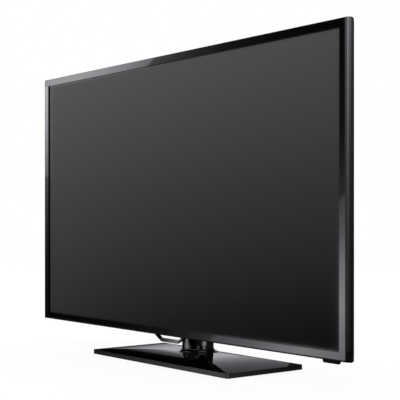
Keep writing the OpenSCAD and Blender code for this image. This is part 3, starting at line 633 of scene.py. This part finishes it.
@dataclass
class PedestalDeck:
    """Glossy deck of the base: two crossed vaults that meet on hips, and the round pad under the neck."""

    low: Vector
    high: Vector
    axis_y: float
    edge: float = 10 * MM
    crown: float = 12 * MM
    corner: float = 6 * MM
    wall: float = 3 * MM
    pad_radius: float = 44.5 * MM
    pad_depth: float = 8 * MM
    pad_round: float = 0.35 * MM
    pad_clear: float = 60 * MM
    bore_radius: float = 34.3 * MM
    rim_bevel: float = 0.5 * MM
    rim_angle: float = 40.0
    facets: int = 28
    sides: int = 160
    drum_length: float = 0.8
    bore_length: float = 60 * MM
    overcut: float = 1 * MM
    headroom: float = 10 * MM

    def vault(self, name: str, half: float, along_x: bool, drop: float) -> Piece:
        """Adds a long drum whose top is a shallow vault over the base.

        Args:
            name: The drum's name.
            half: Half the span that the vault crosses.
            along_x: Whether the drum lies along X, and else along Y.
            drop: How far the vault lies below the deck's face.

        Returns:
            The drum.
        """
        steps = 4 * round(self.facets * math.pi / math.atan(self.crown / half) / 4)
        crown = half * math.tan(self.facets * math.pi / steps)
        radius = (half**2 + crown**2) / (2 * crown)
        top = self.low.z + self.edge + crown - drop
        turn = (0, QUARTER_TURN, 0) if along_x else (QUARTER_TURN, 0, 0)
        return Bench.start(name, bpy.ops.mesh.primitive_cylinder_add, vertices=steps, radius=radius,
                           depth=self.drum_length, location=(0, 0, top - radius), rotation=turn)

    def shell(self, name: str, inset: float) -> Piece:
        """Models the deck's outer form.

        Args:
            name: The form's name.
            inset: How far it is drawn in on all sides.

        Returns:
            The form, closed all round.
        """
        floor = self.low.z - (self.overcut if inset else 0)
        low = Vector((self.low.x + inset, self.low.y + inset, floor))
        high = Vector((self.high.x - inset, self.high.y - inset, self.high.z + self.headroom))
        form = Bench.cube(name, low, high)
        with Bench.editing(form, "EDGE") as mesh:
            Bench.pick(form, mesh, mesh.edges, lambda e: abs(e.verts[0].co.z - e.verts[1].co.z) > self.edge)
            bpy.ops.mesh.bevel(offset=max(self.corner - inset, self.overcut), segments=8, affect="EDGES")
        Bench.combine(form, self.vault("vault_long", self.high.y, True, inset), "INTERSECT")
        Bench.combine(form, self.vault("vault_cross", self.high.x, False, inset), "INTERSECT")
        return form

    def bored(self, piece: Piece, top: float) -> None:
        """Cuts the bearing's bore through a piece."""
        bore = Bench.start("bore", bpy.ops.mesh.primitive_cylinder_add, vertices=self.sides,
                           radius=self.bore_radius, depth=self.bore_length, location=(0, self.axis_y, top))
        Bench.combine(piece, bore, "DIFFERENCE")

    def pad(self, top: float) -> Piece:
        """Models the round pad with its rounded rim.

        Args:
            top: Height of the pad's face.

        Returns:
            The pad.
        """
        wide, soft = self.pad_radius, self.pad_round
        rings = [(wide, top - self.pad_depth), (wide, top - soft), (wide - 0.3 * soft, top - 0.3 * soft),
                 (wide - soft, top)]
        pad = Bench.lathe("pad", Vector((0, self.axis_y, 0)), rings, self.sides)
        Bench.close(pad)
        self.bored(pad, top)
        Bench.smooth(pad, 50)
        return pad

    @staticmethod
    def creased(edge: bmesh.types.BMEdge) -> bool:
        """Tells whether an edge is a hip, a rim or a bore's edge, and not a step of a round corner."""
        upright = all(abs(face.normal.z) < 0.2 for face in edge.link_faces)
        return edge.calc_face_angle(0.0) > math.radians(30 if upright else 1.5)

    def rimmed(self, edge: bmesh.types.BMEdge) -> bool:
        """Tells whether an edge is a sharp one away from the neck."""
        away = min(math.hypot(vertex.co.x, vertex.co.y - self.axis_y) for vertex in edge.verts)
        return away > self.pad_clear and edge.calc_face_angle(0.0) > math.radians(self.rim_angle)

    def build(self, finishes: Finishes) -> None:
        """Models the deck and puts it in place of its node.

        Args:
            finishes: The finishes to dress it with.
        """
        deck = self.shell("pedestal_deck", 0.0)
        Bench.combine(deck, self.shell("deck_hollow", self.wall), "DIFFERENCE")
        top = self.low.z + self.edge + self.crown
        self.bored(deck, top)
        with Bench.editing(deck, "VERT"):
            bpy.ops.mesh.select_all(action="SELECT")
            bpy.ops.mesh.remove_doubles(threshold=0.01 * MM)
        with Bench.editing(deck, "EDGE") as mesh:
            Bench.pick(deck, mesh, mesh.edges, self.creased)
            bpy.ops.mesh.mark_sharp()
        Bench.only(deck)
        bpy.ops.object.shade_smooth()
        with Bench.editing(deck, "EDGE") as mesh:
            Bench.pick(deck, mesh, mesh.edges, self.rimmed)
            bpy.ops.mesh.bevel(offset=self.rim_bevel, segments=3, affect="EDGES")
            bpy.ops.mesh.select_all(action="SELECT")
            bpy.ops.mesh.normals_make_consistent(inside=False)
        pad = self.pad(top)
        Bench.only(deck)
        pad.select_set(True)
        bpy.ops.object.join()
        finishes.settle(deck, Body.STAND, Slot.GLOSS_BLACK, "base_deck")


def solids_of(node: str) -> list[tuple[Vector, Vector]]:
    """Finds the separate solids in a node.

    Args:
        node: The node's name.

    Returns:
        The lowest and the highest corner of each solid.
    """
    mesh = frame["nodes"][node].data
    parent: dict[tuple[float, ...], tuple[float, ...]] = {}

    def root(key: tuple[float, ...]) -> tuple[float, ...]:
        """Returns the corner that stands for a corner's solid."""
        while parent.setdefault(key, key) != key:
            key = parent[key]
        return key

    keys = [tuple(round(value, 5) for value in vertex.co) for vertex in mesh.vertices]
    for edge in mesh.edges:
        parent[root(keys[edge.vertices[0]])] = root(keys[edge.vertices[1]])
    groups: dict[tuple[float, ...], list[tuple[float, ...]]] = {}
    for key in keys:
        groups.setdefault(root(key), []).append(key)
    return [(Vector(map(min, zip(*group))), Vector(map(max, zip(*group)))) for group in groups.values()]


@dataclass
class NeckSleeve:
    """Glossy round cover of the neck, with a flared foot, a domed top and a window for the post's arm."""

    low: Vector
    high: Vector
    window_half: float = 18 * MM
    window_sill: float = 113 * MM
    window_lintel: float = 9 * MM
    window_reach: float = 10 * MM
    flare: float = 4.5 * MM
    foot: float = 7.0 * MM
    dome: float = 10 * MM
    wall: float = 3 * MM
    guard: float = 0.4 * MM
    cad_flare: float = 7.5 * MM
    rim: float = 1.0 * MM
    top_share: float = 0.3
    top_rise: float = 0.1 * MM
    steps: int = 8
    sides: int = 128

    def quarter(self) -> list[tuple[float, float]]:
        """Returns what is left of sine and cosine at each step of a quarter turn."""
        turns = [math.radians(90 * step / self.steps) for step in range(1, self.steps + 1)]
        return [(1 - math.sin(turn), 1 - math.cos(turn)) for turn in turns]

    def rings(self) -> list[tuple[float, float]]:
        """Lays out the sleeve's rings, from the foot's rim to the dome's middle.

        Returns:
            Radius and height of each ring.
        """
        radius = (self.high.x - self.low.x) / 2 - self.cad_flare
        lip, shoulder = self.low.z + self.rim, self.high.z - self.dome
        rings = [(radius + self.flare, self.low.z), (radius + self.flare, lip)]
        rise = self.foot - self.rim
        rings += [(radius + self.flare * out, lip + rise * up) for out, up in self.quarter()]
        rings += [(radius, self.low.z + self.foot + self.guard), (radius, shoulder - self.guard),
                  (radius, shoulder)]
        rings += [(radius - self.dome * far, self.high.z - self.dome * left) for left, far in self.quarter()]
        rings.append((radius * self.top_share, self.high.z + self.top_rise))
        return rings

    def build(self, finishes: Finishes) -> None:
        """Models the sleeve and puts it in place of its node.

        Args:
            finishes: The finishes to dress it with.
        """
        middle = (self.low + self.high) / 2
        axis = Vector((middle.x, self.high.y - (self.high.x - self.low.x) / 2, 0))
        sleeve = Bench.lathe("neck_sleeve", axis, self.rings(), self.sides)
        Bench.modify(sleeve, "SOLIDIFY", thickness=self.wall, offset=-1.0, use_even_offset=True)
        window = Bench.cube("window", (-self.window_half, self.low.y - self.window_reach, self.window_sill),
                            (self.window_half, axis.y, self.high.z - self.window_lintel))
        Bench.combine(sleeve, window, "DIFFERENCE")
        Bench.smooth(sleeve, 35)
        finishes.settle(sleeve, Body.SET, Slot.GLOSS_BLACK, "neck_cover")


@dataclass
class CrossScrews:
    """Screws of one node: a domed head with a cross recess, over a plain shank."""

    node: str
    body: Body
    slot: Slot
    facing: Vector
    head_share: float
    recess: float = 0.55
    blade: float = 0.16
    recess_taper: float = 0.6
    shank: float = 0.45
    tip: float = 0.7
    dome: tuple[tuple[float, float], ...] = ((1.0, 0.55), (0.93, 0.3), (0.75, 0.1), (0.4, 0.0))
    sides: int = 40

    def model(self, radius: float, tall: float, head: float) -> Piece:
        """Models one screw with its head's top at the origin, along Z.

        Args:
            radius: The head's radius.
            tall: The whole length.
            head: The head's height.

        Returns:
            The screw.
        """
        shank = radius * self.shank
        rings = [(shank * self.tip, -tall), (shank, -tall + shank * 0.5), (shank, -head), (radius, -head)]
        rings += [(radius * wide, -head * below) for wide, below in self.dome]
        screw = Bench.lathe(self.node + "_cross", ORIGIN, rings, self.sides)
        Bench.close(screw)
        long, thin = radius * self.recess, radius * self.blade / 2
        deep = min(head * 0.7, radius * 0.5)
        for reach in ((long, thin), (thin, long)):
            cut = Bench.cube("cross_cut", (-reach[0], -reach[1], -deep), (*reach, deep))
            with Bench.editing(cut) as mesh:
                Bench.pick(cut, mesh, mesh.faces, lambda face: face.normal.z < -0.9)
                bpy.ops.transform.resize(value=(self.recess_taper, self.recess_taper, 1),
                                         center_override=(0, 0, -deep))
            Bench.combine(screw, cut, "DIFFERENCE")
        return screw

    def build(self, finishes: Finishes) -> None:
        """Models one screw, sets a copy in each place and replaces the node.

        Args:
            finishes: The finishes to dress them with.
        """
        boxes = solids_of(self.node)
        low, high = boxes[0]
        size = high - low
        along = max(range(3), key=lambda axis: abs(self.facing[axis]))
        radius = max(size[axis] for axis in range(3) if axis != along) / 2
        screw = self.model(radius, size[along], radius * self.head_share)
        Bench.turned(screw, Vector((0, 0, 1)).rotation_difference(self.facing).to_euler())
        places = []
        for low, high in boxes:
            place = (low + high) / 2
            place[along] = high[along] if self.facing[along] > 0 else low[along]
            places.append(place)
        screws = Bench.spread(screw, places)
        Bench.smooth(screws, 32)
        finishes.settle(screws, self.body, self.slot, self.node)


@dataclass
class InsertThreads:
    """Threads inside the four wall-mount inserts."""

    pitch: float = 1.25 * MM
    radius: float = 4.0 * MM
    ridge: float = 0.4 * MM
    root: float = 0.05 * MM
    root_half: float = 0.42
    crest_half: float = 0.1
    turns: int = 14
    runout: float = 0.6
    steps: int = 32

    def build(self, finishes: Finishes) -> None:
        """Winds one thread from a short slanted ribbon and sets a copy in each insert.

        Args:
            finishes: The finishes to dress them with.
        """
        thread = Bench.start("insert_threads", bpy.ops.mesh.primitive_plane_add, size=1.0)
        outer, inner = self.radius + self.root, self.radius - self.ridge
        profile = ((outer, -self.root_half), (inner, -self.crest_half), (outer, self.root_half),
                   (inner, self.crest_half))
        for vertex, (radius, rise) in zip(thread.data.vertices, profile):
            vertex.co = (radius, 0, rise * self.pitch)
        Bench.modify(thread, "SCREW", axis="Z", screw_offset=self.pitch, iterations=self.turns,
                     steps=self.steps, render_steps=self.steps, use_merge_vertices=False)
        with Bench.editing(thread, "VERT"):
            bpy.ops.mesh.select_all(action="SELECT")
            bpy.ops.mesh.remove_doubles(threshold=0.001 * MM)
            bpy.ops.mesh.normals_make_consistent(inside=False)
        Bench.turned(thread, (-QUARTER_TURN, 0, 0))
        places = []
        for low, high in solids_of("wall_inserts"):
            place = (low + high) / 2
            place.y = high.y - (self.turns + self.runout) * self.pitch
            places.append(place)
        threads = Bench.spread(thread, places)
        Bench.smooth(threads, 40)
        finishes.settle(threads, Body.SET, Slot.BRIGHT)


@dataclass
class FootPads:
    """Rubber feet with a rounded rim and two ring grooves underneath."""

    rim: float = 0.5 * MM
    groove: float = 0.35 * MM
    groove_at: tuple[float, float] = (0.72, 0.42)
    mouth: float = 0.6 * MM
    bed: float = 0.3 * MM
    middle: float = 0.1
    sides: int = 56

    def build(self, finishes: Finishes) -> None:
        """Models one foot from the top down and sets four in place of the node.

        Args:
            finishes: The finishes to dress them with.
        """
        boxes = solids_of("base_feet")
        size = boxes[0][1] - boxes[0][0]
        radius, tall = size.x / 2, size.z
        rings = [(radius, tall), (radius, self.rim), (radius - self.rim * 0.3, self.rim * 0.3),
                 (radius - self.rim, 0.0)]
        for share in self.groove_at:
            at = radius * share
            rings += [(at + self.mouth, 0.0), (at + self.bed, self.groove), (at - self.bed, self.groove),
                      (at - self.mouth, 0.0)]
        rings.append((radius * self.middle, 0.0))
        foot = Bench.lathe("foot_pads", ORIGIN, rings, self.sides)
        Bench.close(foot)
        places = [Vector(((low.x + high.x) / 2, (low.y + high.y) / 2, low.z)) for low, high in boxes]
        feet = Bench.spread(foot, places)
        Bench.smooth(feet, 40)
        finishes.settle(feet, Body.STAND, Slot.RUBBER, "base_feet")


@dataclass(frozen=True)
class Glow:
    """Light of a card, which changes along one direction."""

    along: tuple[float, float, float]
    stops: tuple[tuple[float, float], ...]
    fan: float = 0.0
    pivot: tuple[float, float] = (0.0, 0.0)
    tint: tuple[float, float, float] = (0.96, 0.97, 1.05)
    grazing: bool = False
    skim: tuple[float, float] = (0.78, 0.84)

    def make(self, name: str) -> Material:
        """Returns the glowing material.

        Args:
            name: The material's name.

        Returns:
            A material whose stops pair a place along the direction, in metres, with the glow there.
        """
        material = bpy.data.materials.new(name)
        material.use_nodes = True
        tree = material.node_tree
        tree.nodes.clear()
        coords = tree.nodes.new("ShaderNodeTexCoord").outputs["Object"]
        place = tree.nodes.new("ShaderNodeVectorMath")
        place.operation = "DOT_PRODUCT"
        place.inputs[1].default_value = self.along
        first, last = self.stops[0][0], self.stops[-1][0]
        spread = tree.nodes.new("ShaderNodeMapRange")
        spread.inputs["From Min"].default_value = first
        spread.inputs["From Max"].default_value = last
        curve = tree.nodes.new("ShaderNodeValToRGB")
        brightest = max(glow for _, glow in self.stops)
        while len(curve.color_ramp.elements) < len(self.stops):
            curve.color_ramp.elements.new(0.5)
        for element, (at, glow) in zip(curve.color_ramp.elements, self.stops):
            element.position = (at - first) / (last - first)
            element.color = (*shade(self.tint, glow / brightest), 1.0)
        emission = tree.nodes.new("ShaderNodeEmission")
        emission.inputs["Strength"].default_value = brightest
        if self.grazing:
            tree.links.new(self.skimmed(tree, brightest), emission.inputs["Strength"])
        output = tree.nodes.new("ShaderNodeOutputMaterial")
        tree.links.new(coords, place.inputs[0])
        tree.links.new(self.fanned(tree, coords, place.outputs["Value"]), spread.inputs["Value"])
        tree.links.new(spread.outputs["Result"], curve.inputs["Fac"])
        tree.links.new(curve.outputs["Color"], emission.inputs["Color"])
        tree.links.new(emission.outputs["Emission"], output.inputs["Surface"])
        return material

    def skimmed(self, tree: NodeTree, brightest: float) -> Socket:
        """Adds a strength that only rays skimming over the card meet.

        Args:
            tree: The material's node tree.
            brightest: The strength for such rays.

        Returns:
            The strength.
        """
        weight = tree.nodes.new("ShaderNodeLayerWeight")
        mask = tree.nodes.new("ShaderNodeMapRange")
        mask.inputs["From Min"].default_value = self.skim[0]
        mask.inputs["From Max"].default_value = self.skim[1]
        mask.inputs["To Max"].default_value = brightest
        tree.links.new(weight.outputs["Facing"], mask.inputs["Value"])
        return mask.outputs["Result"]

    def fanned(self, tree: NodeTree, coords: Socket, place: Socket) -> Socket:
        """Stretches a place away from the pivot's height, more so the further along X.

        Args:
            tree: The material's node tree.
            coords: The card's own coordinates.
            place: The place along the card's direction.

        Returns:
            The stretched place.
        """
        if not self.fan:
            return place
        split = tree.nodes.new("ShaderNodeSeparateXYZ")
        tree.links.new(coords, split.inputs["Vector"])
        side = reckon(tree, "SUBTRACT", split.outputs["X"], self.pivot[0])
        stretch = reckon(tree, "MULTIPLY_ADD", side, self.fan, 1.0)
        rise = reckon(tree, "SUBTRACT", place, self.pivot[1])
        return reckon(tree, "MULTIPLY_ADD", rise, stretch, self.pivot[1])


@dataclass(frozen=True)
class Card:
    """Flat card that only reflections see, from one corner to the far one."""

    name: str
    low: tuple[float, float, float]
    high: tuple[float, float, float]
    glow: Glow

    def hang(self) -> None:
        """Hangs the card upright, or lays it flat where its corners are level."""
        card = Bench.start(self.name, bpy.ops.mesh.primitive_plane_add, size=1.0)
        low, high = Vector(self.low), Vector(self.high)
        flat = abs(high.z - low.z) < 1e-6
        for vertex, (side, rise) in zip(card.data.vertices, ((0, 0), (1, 0), (0, 1), (1, 1))):
            vertex.co.x = low.x + side * (high.x - low.x)
            vertex.co.y = low.y + (rise if flat else side) * (high.y - low.y)
            vertex.co.z = low.z + rise * (high.z - low.z)
        card.data.materials.append(self.glow.make(self.name))
        card.visible_camera = False
        card.visible_diffuse = False
        card.visible_shadow = False
        card.visible_transmission = False


@dataclass
class Studio:
    """Camera, white surroundings and the cards that the glossy faces mirror."""

    camera_at: tuple[float, float, float] = (1.7736, -1.3845, 0.3129)
    yaw: float = 51.584
    lens: float = 91.84
    sensor: float = 36.0
    shift_y: float = 0.0495
    floor_size: float = 14.0
    floor_glow: float = 0.87
    lamp_power: float = 45.0
    lamp_size: float = 4.0
    lamp_at: tuple[float, float, float] = (0.0, -0.2, 3.2)
    strip_y: float = -1.4

    def build(self) -> None:
        """Sets up everything round the object."""
        self.place_camera()
        self.light_world()
        self.hang_lamp()
        self.lay_floor()
        for card in (*self.front_cards(), *self.room_cards()):
            card.hang()
        bpy.context.scene.view_settings.view_transform = "Standard"

    def place_camera(self) -> None:
        """Puts the camera where the photograph was taken."""
        data = bpy.data.cameras.new("camera")
        data.lens = self.lens
        data.sensor_width = self.sensor
        data.shift_y = self.shift_y
        camera = bpy.data.objects.new("camera", data)
        camera.location = self.camera_at
        camera.rotation_euler = (math.radians(90), 0, math.radians(self.yaw))
        bpy.context.scene.collection.objects.link(camera)
        bpy.context.scene.camera = camera

    def light_world(self) -> None:
        """Gives the surroundings an even white."""
        world = bpy.data.worlds.new("surroundings")
        world.use_nodes = True
        background = world.node_tree.nodes["Background"]
        background.inputs["Color"].default_value = (1.0, 1.0, 1.0, 1.0)
        background.inputs["Strength"].default_value = 1.0
        bpy.context.scene.world = world

    def hang_lamp(self) -> None:
        """Hangs one large soft lamp overhead."""
        data = bpy.data.lights.new("overhead", "AREA")
        data.energy = self.lamp_power
        data.size = self.lamp_size
        lamp = bpy.data.objects.new("overhead", data)
        lamp.location = self.lamp_at
        lamp.visible_camera = False
        bpy.context.scene.collection.objects.link(lamp)

    def lay_floor(self) -> None:
        """Lays a white floor that keeps the object's shadow."""
        floor = Bench.start("floor", bpy.ops.mesh.primitive_plane_add, size=self.floor_size)
        bench = NodeBench("floor_white")
        bench.feed(bench.tint(bench.noise(3.0, 2.0), (0.95, 0.95, 0.95), (0.97, 0.97, 0.97)), "Base Color")
        bench.put(Roughness=0.9, Specular_IOR_Level=0.0)
        tree = bench.tree
        path = tree.nodes.new("ShaderNodeLightPath")
        seen = path.outputs["Is Camera Ray"]
        for kind in ("Is Glossy Ray", "Is Transmission Ray"):
            seen = reckon(tree, "MAXIMUM", seen, path.outputs[kind])
        share = bench.between(seen, 0.0, self.floor_glow)
        white = bench.node("ShaderNodeEmission", Strength=1.0)
        mixed = bench.node("ShaderNodeMixShader", Fac=share)
        tree.links.new(bench.surface.outputs["BSDF"], mixed.inputs[1])
        tree.links.new(white.outputs["Emission"], mixed.inputs[2])
        tree.links.new(mixed.outputs["Shader"], tree.nodes["Material Output"].inputs["Surface"])
        floor.data.materials.append(bench.material)
        floor.visible_glossy = False

    def front_cards(self) -> tuple[Card, ...]:
        """Lays out what the front mirrors: a graded card, and strips round it with two slanting edges.

        Returns:
            The cards.
        """
        veil = Glow((0, 0, 1), (
            (-1.6, 0.0), (-0.4, 0.04), (-0.13, 0.18), (0.42, 0.6), (0.98, 1.15), (1.75, 1.9),
        ), fan=0.3, pivot=(-1.79, 0.42), tint=(1.0, 1.0, 1.0))
        upper = Glow((-0.46, 0, 0.89), (
            (1.18, 0.02), (1.39, 0.03), (1.53, 0.1), (1.66, 0.33), (1.78, 0.75), (1.79, 2.0), (1.86, 2.8),
            (1.94, 3.4), (2.05, 3.9), (2.3, 3.4),
        ))
        dim_end = ((-1.58, 0.01), (-1.18, 0.03), (-0.98, 0.09), (-0.88, 0.2), (-0.775, 0.45), (-0.765, 1.0))
        lower = Glow((0.61, 0, -0.79), (
            *dim_end, (-0.62, 1.8), (-0.53, 2.8), (-0.45, 3.5), (-0.28, 2.4),
        ))
        rising = Glow((0.61, 0, -0.79), (
            *dim_end, (-0.668, 1.7), (-0.582, 3.2), (-0.464, 4.2), (-0.378, 3.3), (-0.28, 2.5),
        ))
        flank = Glow((0, 0, 1), (
            (-0.2, 0.02), (-0.017, 0.04), (0.146, 0.1), (0.281, 0.22), (0.418, 0.47), (0.53, 0.75),
            (0.54, 1.5), (0.69, 2.6), (0.826, 3.86), (0.963, 4.9),
        ))
        dark = Glow((0, 0, 1), ((-1.6, 0.01), (1.75, 0.03)))
        y, foot, head = self.strip_y, -1.6, 1.75
        left, right, top, bottom = -2.8205, -0.7705, 0.998, -0.158
        edge_left, edge_right, edge_top, edge_bottom = -2.856, -0.739, 1.036, -0.187
        return (
            Card("veil", (-4.6, y - 0.05, foot), (2.4, y - 0.05, head), veil),
            Card("strip_end", (-6.0, y - 0.02, foot), (edge_left, y - 0.02, head), dark),
            Card("strip_top", (edge_left, y, top), (edge_right, y, edge_top), upper),
            Card("strip_left", (edge_left, y, bottom), (left, y, top), flank),
            Card("strip_right", (right, y, bottom), (edge_right, y, top), rising),
            Card("strip_bottom", (edge_left, y, edge_bottom), (edge_right, y, bottom), lower),
        )

    def room_cards(self) -> tuple[Card, ...]:
        """Lays out the dim room that the sides and the base mirror.

        Returns:
            The cards.
        """
        back = Glow((0.15, 0, 1), (
            (-1.2, 0.02), (-0.7, 0.12), (-0.59, 0.19), (-0.5, 0.28), (-0.4, 0.42), (-0.33, 0.5),
            (-0.26, 0.63), (-0.1, 0.75), (0.1, 0.85), (0.34, 0.92), (0.43, 0.62), (0.52, 0.38), (0.6, 0.27),
            (0.67, 0.2), (0.79, 0.14), (0.85, 0.12), (0.87, 0.01), (1.2, 0.0), (7.0, 0.0),
        ))
        side = Glow((0, -40, 1), (
            (-53.2, 0.05), (-52.66, 0.13), (-52.45, 0.2), (-52.25, 0.29), (-52.05, 0.4), (-51.85, 0.6),
            (-51.65, 0.95), (-51.43, 1.6), (-51.3, 2.3), (-51.1, 3.1), (-50.9, 4.2), (-50.6, 4.5),
        ))
        near = Glow((0.815, -0.58, 0), (
            (-0.13, 0.0), (-0.08, 0.5), (-0.04, 1.8), (0.0, 3.3), (0.03, 3.3), (0.06, 1.8), (0.1, 0.5),
            (0.14, 0.0),
        ), grazing=True)
        above = Glow((0.815, -0.58, 0), (
            (-0.075, 0.0), (-0.045, 0.5), (-0.02, 1.8), (0.005, 3.3), (0.025, 3.3), (0.045, 1.8), (0.07, 0.5),
            (0.095, 0.0),
        ), grazing=True)
        far = Glow((-0.216, 0.976, 0), (
            (-0.235, 0.1), (-0.184, 0.5), (-0.13, 1.6), (-0.07, 3.6), (-0.01, 5.4), (0.05, 3.6), (0.117, 0.8),
            (0.18, 0.1), (0.25, 0.0),
        ), grazing=True)
        spot = Glow((0, 1, 0), (
            (-0.3, 0.0), (0.0, 1.4), (0.2, 4.4), (0.35, 6.0), (0.55, 4.4), (0.75, 1.6), (0.95, 0.0),
        ))
        dark = Glow((0, 0, 1), ((-1.0, 0.02), (2.2, 0.03)))
        ground = Glow((0, 1, 0), ((-0.4, 0.08), (2.5, 0.03)))
        kerb = Glow((1, 0, 0), (
            (-0.4, 0.08), (-0.33, 0.14), (-0.19, 0.31), (-0.05, 0.54), (0.05, 0.77), (0.2, 0.96),
        ), grazing=True)
        flank_kerb = Glow((0, 1, 0), (
            (-0.12, 0.42), (0.0, 0.33), (0.06, 0.2), (0.13, 0.14), (0.2, 0.1), (0.4, 0.08),
        ), grazing=True)
        corner = Glow((0.78, -0.61, 0), ((0.28, 1.0), (0.42, 1.8)), grazing=True)
        left, right, rear, foot, ceiling = -6.0, 2.6, 2.5, -0.6, 7.0
        back_split, side_split, side_foot, side_head, spot_x = -2.2, 1.24, -0.8, 2.0, 2.59
        ground_z, kerb_z, kerb_end, kerb_rear = -0.02, -0.0125, 0.27, -0.12
        near_z, upper_z, far_z = 0.012, 0.024, -0.012
        return (
            Card("back_card", (left, rear, foot), (back_split, rear, ceiling), back),
            Card("back_end", (back_split, rear, foot), (right, rear, ceiling), dark),
            Card("side_card", (right, side_split, side_foot), (right, rear, side_head), side),
            Card("side_end", (right, -1.2, side_foot), (right, side_split, ceiling), dark),
            Card("side_spot", (spot_x, -0.3, -0.12), (spot_x, 0.95, 0.16), spot),
            Card("side_top", (right, side_split, side_head), (right, rear, ceiling), dark),
            Card("left_card", (left, -1.4, foot), (left, rear, ceiling), dark),
            Card("ground_card", (left, -0.4, ground_z), (1.2, rear, ground_z), ground),
            Card("kerb_card", (-0.7, -0.215, kerb_z), (kerb_end, -0.1, kerb_z), kerb),
            Card("corner_card", (kerb_end, -0.25, kerb_z), (0.37, kerb_rear, kerb_z), corner),
            Card("near_patch", (-0.26, -0.286, near_z), (0.1, -0.11, near_z), near),
            Card("upper_patch", (-0.26, -0.249, upper_z), (0.1, -0.106, upper_z), above),
            Card("far_patch", (0.4, -0.3, far_z), (0.7, 0.5, far_z), far),
            Card("flank_kerb", (kerb_end, kerb_rear, kerb_z), (0.4, 0.4, kerb_z), flank_kerb),
        )


def main() -> None:
    """Dresses the nodes, models the new pieces and sets the studio."""
    logging.basicConfig(level=logging.INFO, format="%(message)s")
    cell_low, cell_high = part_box("display_cell")
    middle = (cell_low + cell_high) / 2
    margin = 5 * MM
    picture = (cell_high.x - margin, cell_high.z - middle.z - margin)
    finishes = Finishes.mix(picture, middle.z)
    finishes.dress_nodes()
    washer_low, washer_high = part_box("thrust_washer")
    PedestalDeck(*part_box("base_deck"), (washer_low.y + washer_high.y) / 2).build(finishes)
    NeckSleeve(*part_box("neck_cover")).build(finishes)
    back, down = Vector((0, 1, 0)), Vector((0, 0, -1))
    CrossScrews("cover_screws", Body.SET, Slot.BLACK_SCREW, back, 0.5).build(finishes)
    CrossScrews("neck_screws", Body.SET, Slot.BLACK_SCREW, back, 0.6).build(finishes)
    CrossScrews("base_screws", Body.STAND, Slot.BRIGHT, down, 0.25).build(finishes)
    InsertThreads().build(finishes)
    FootPads().build(finishes)
    Studio().build()


if __name__ == "__main__":
    main()
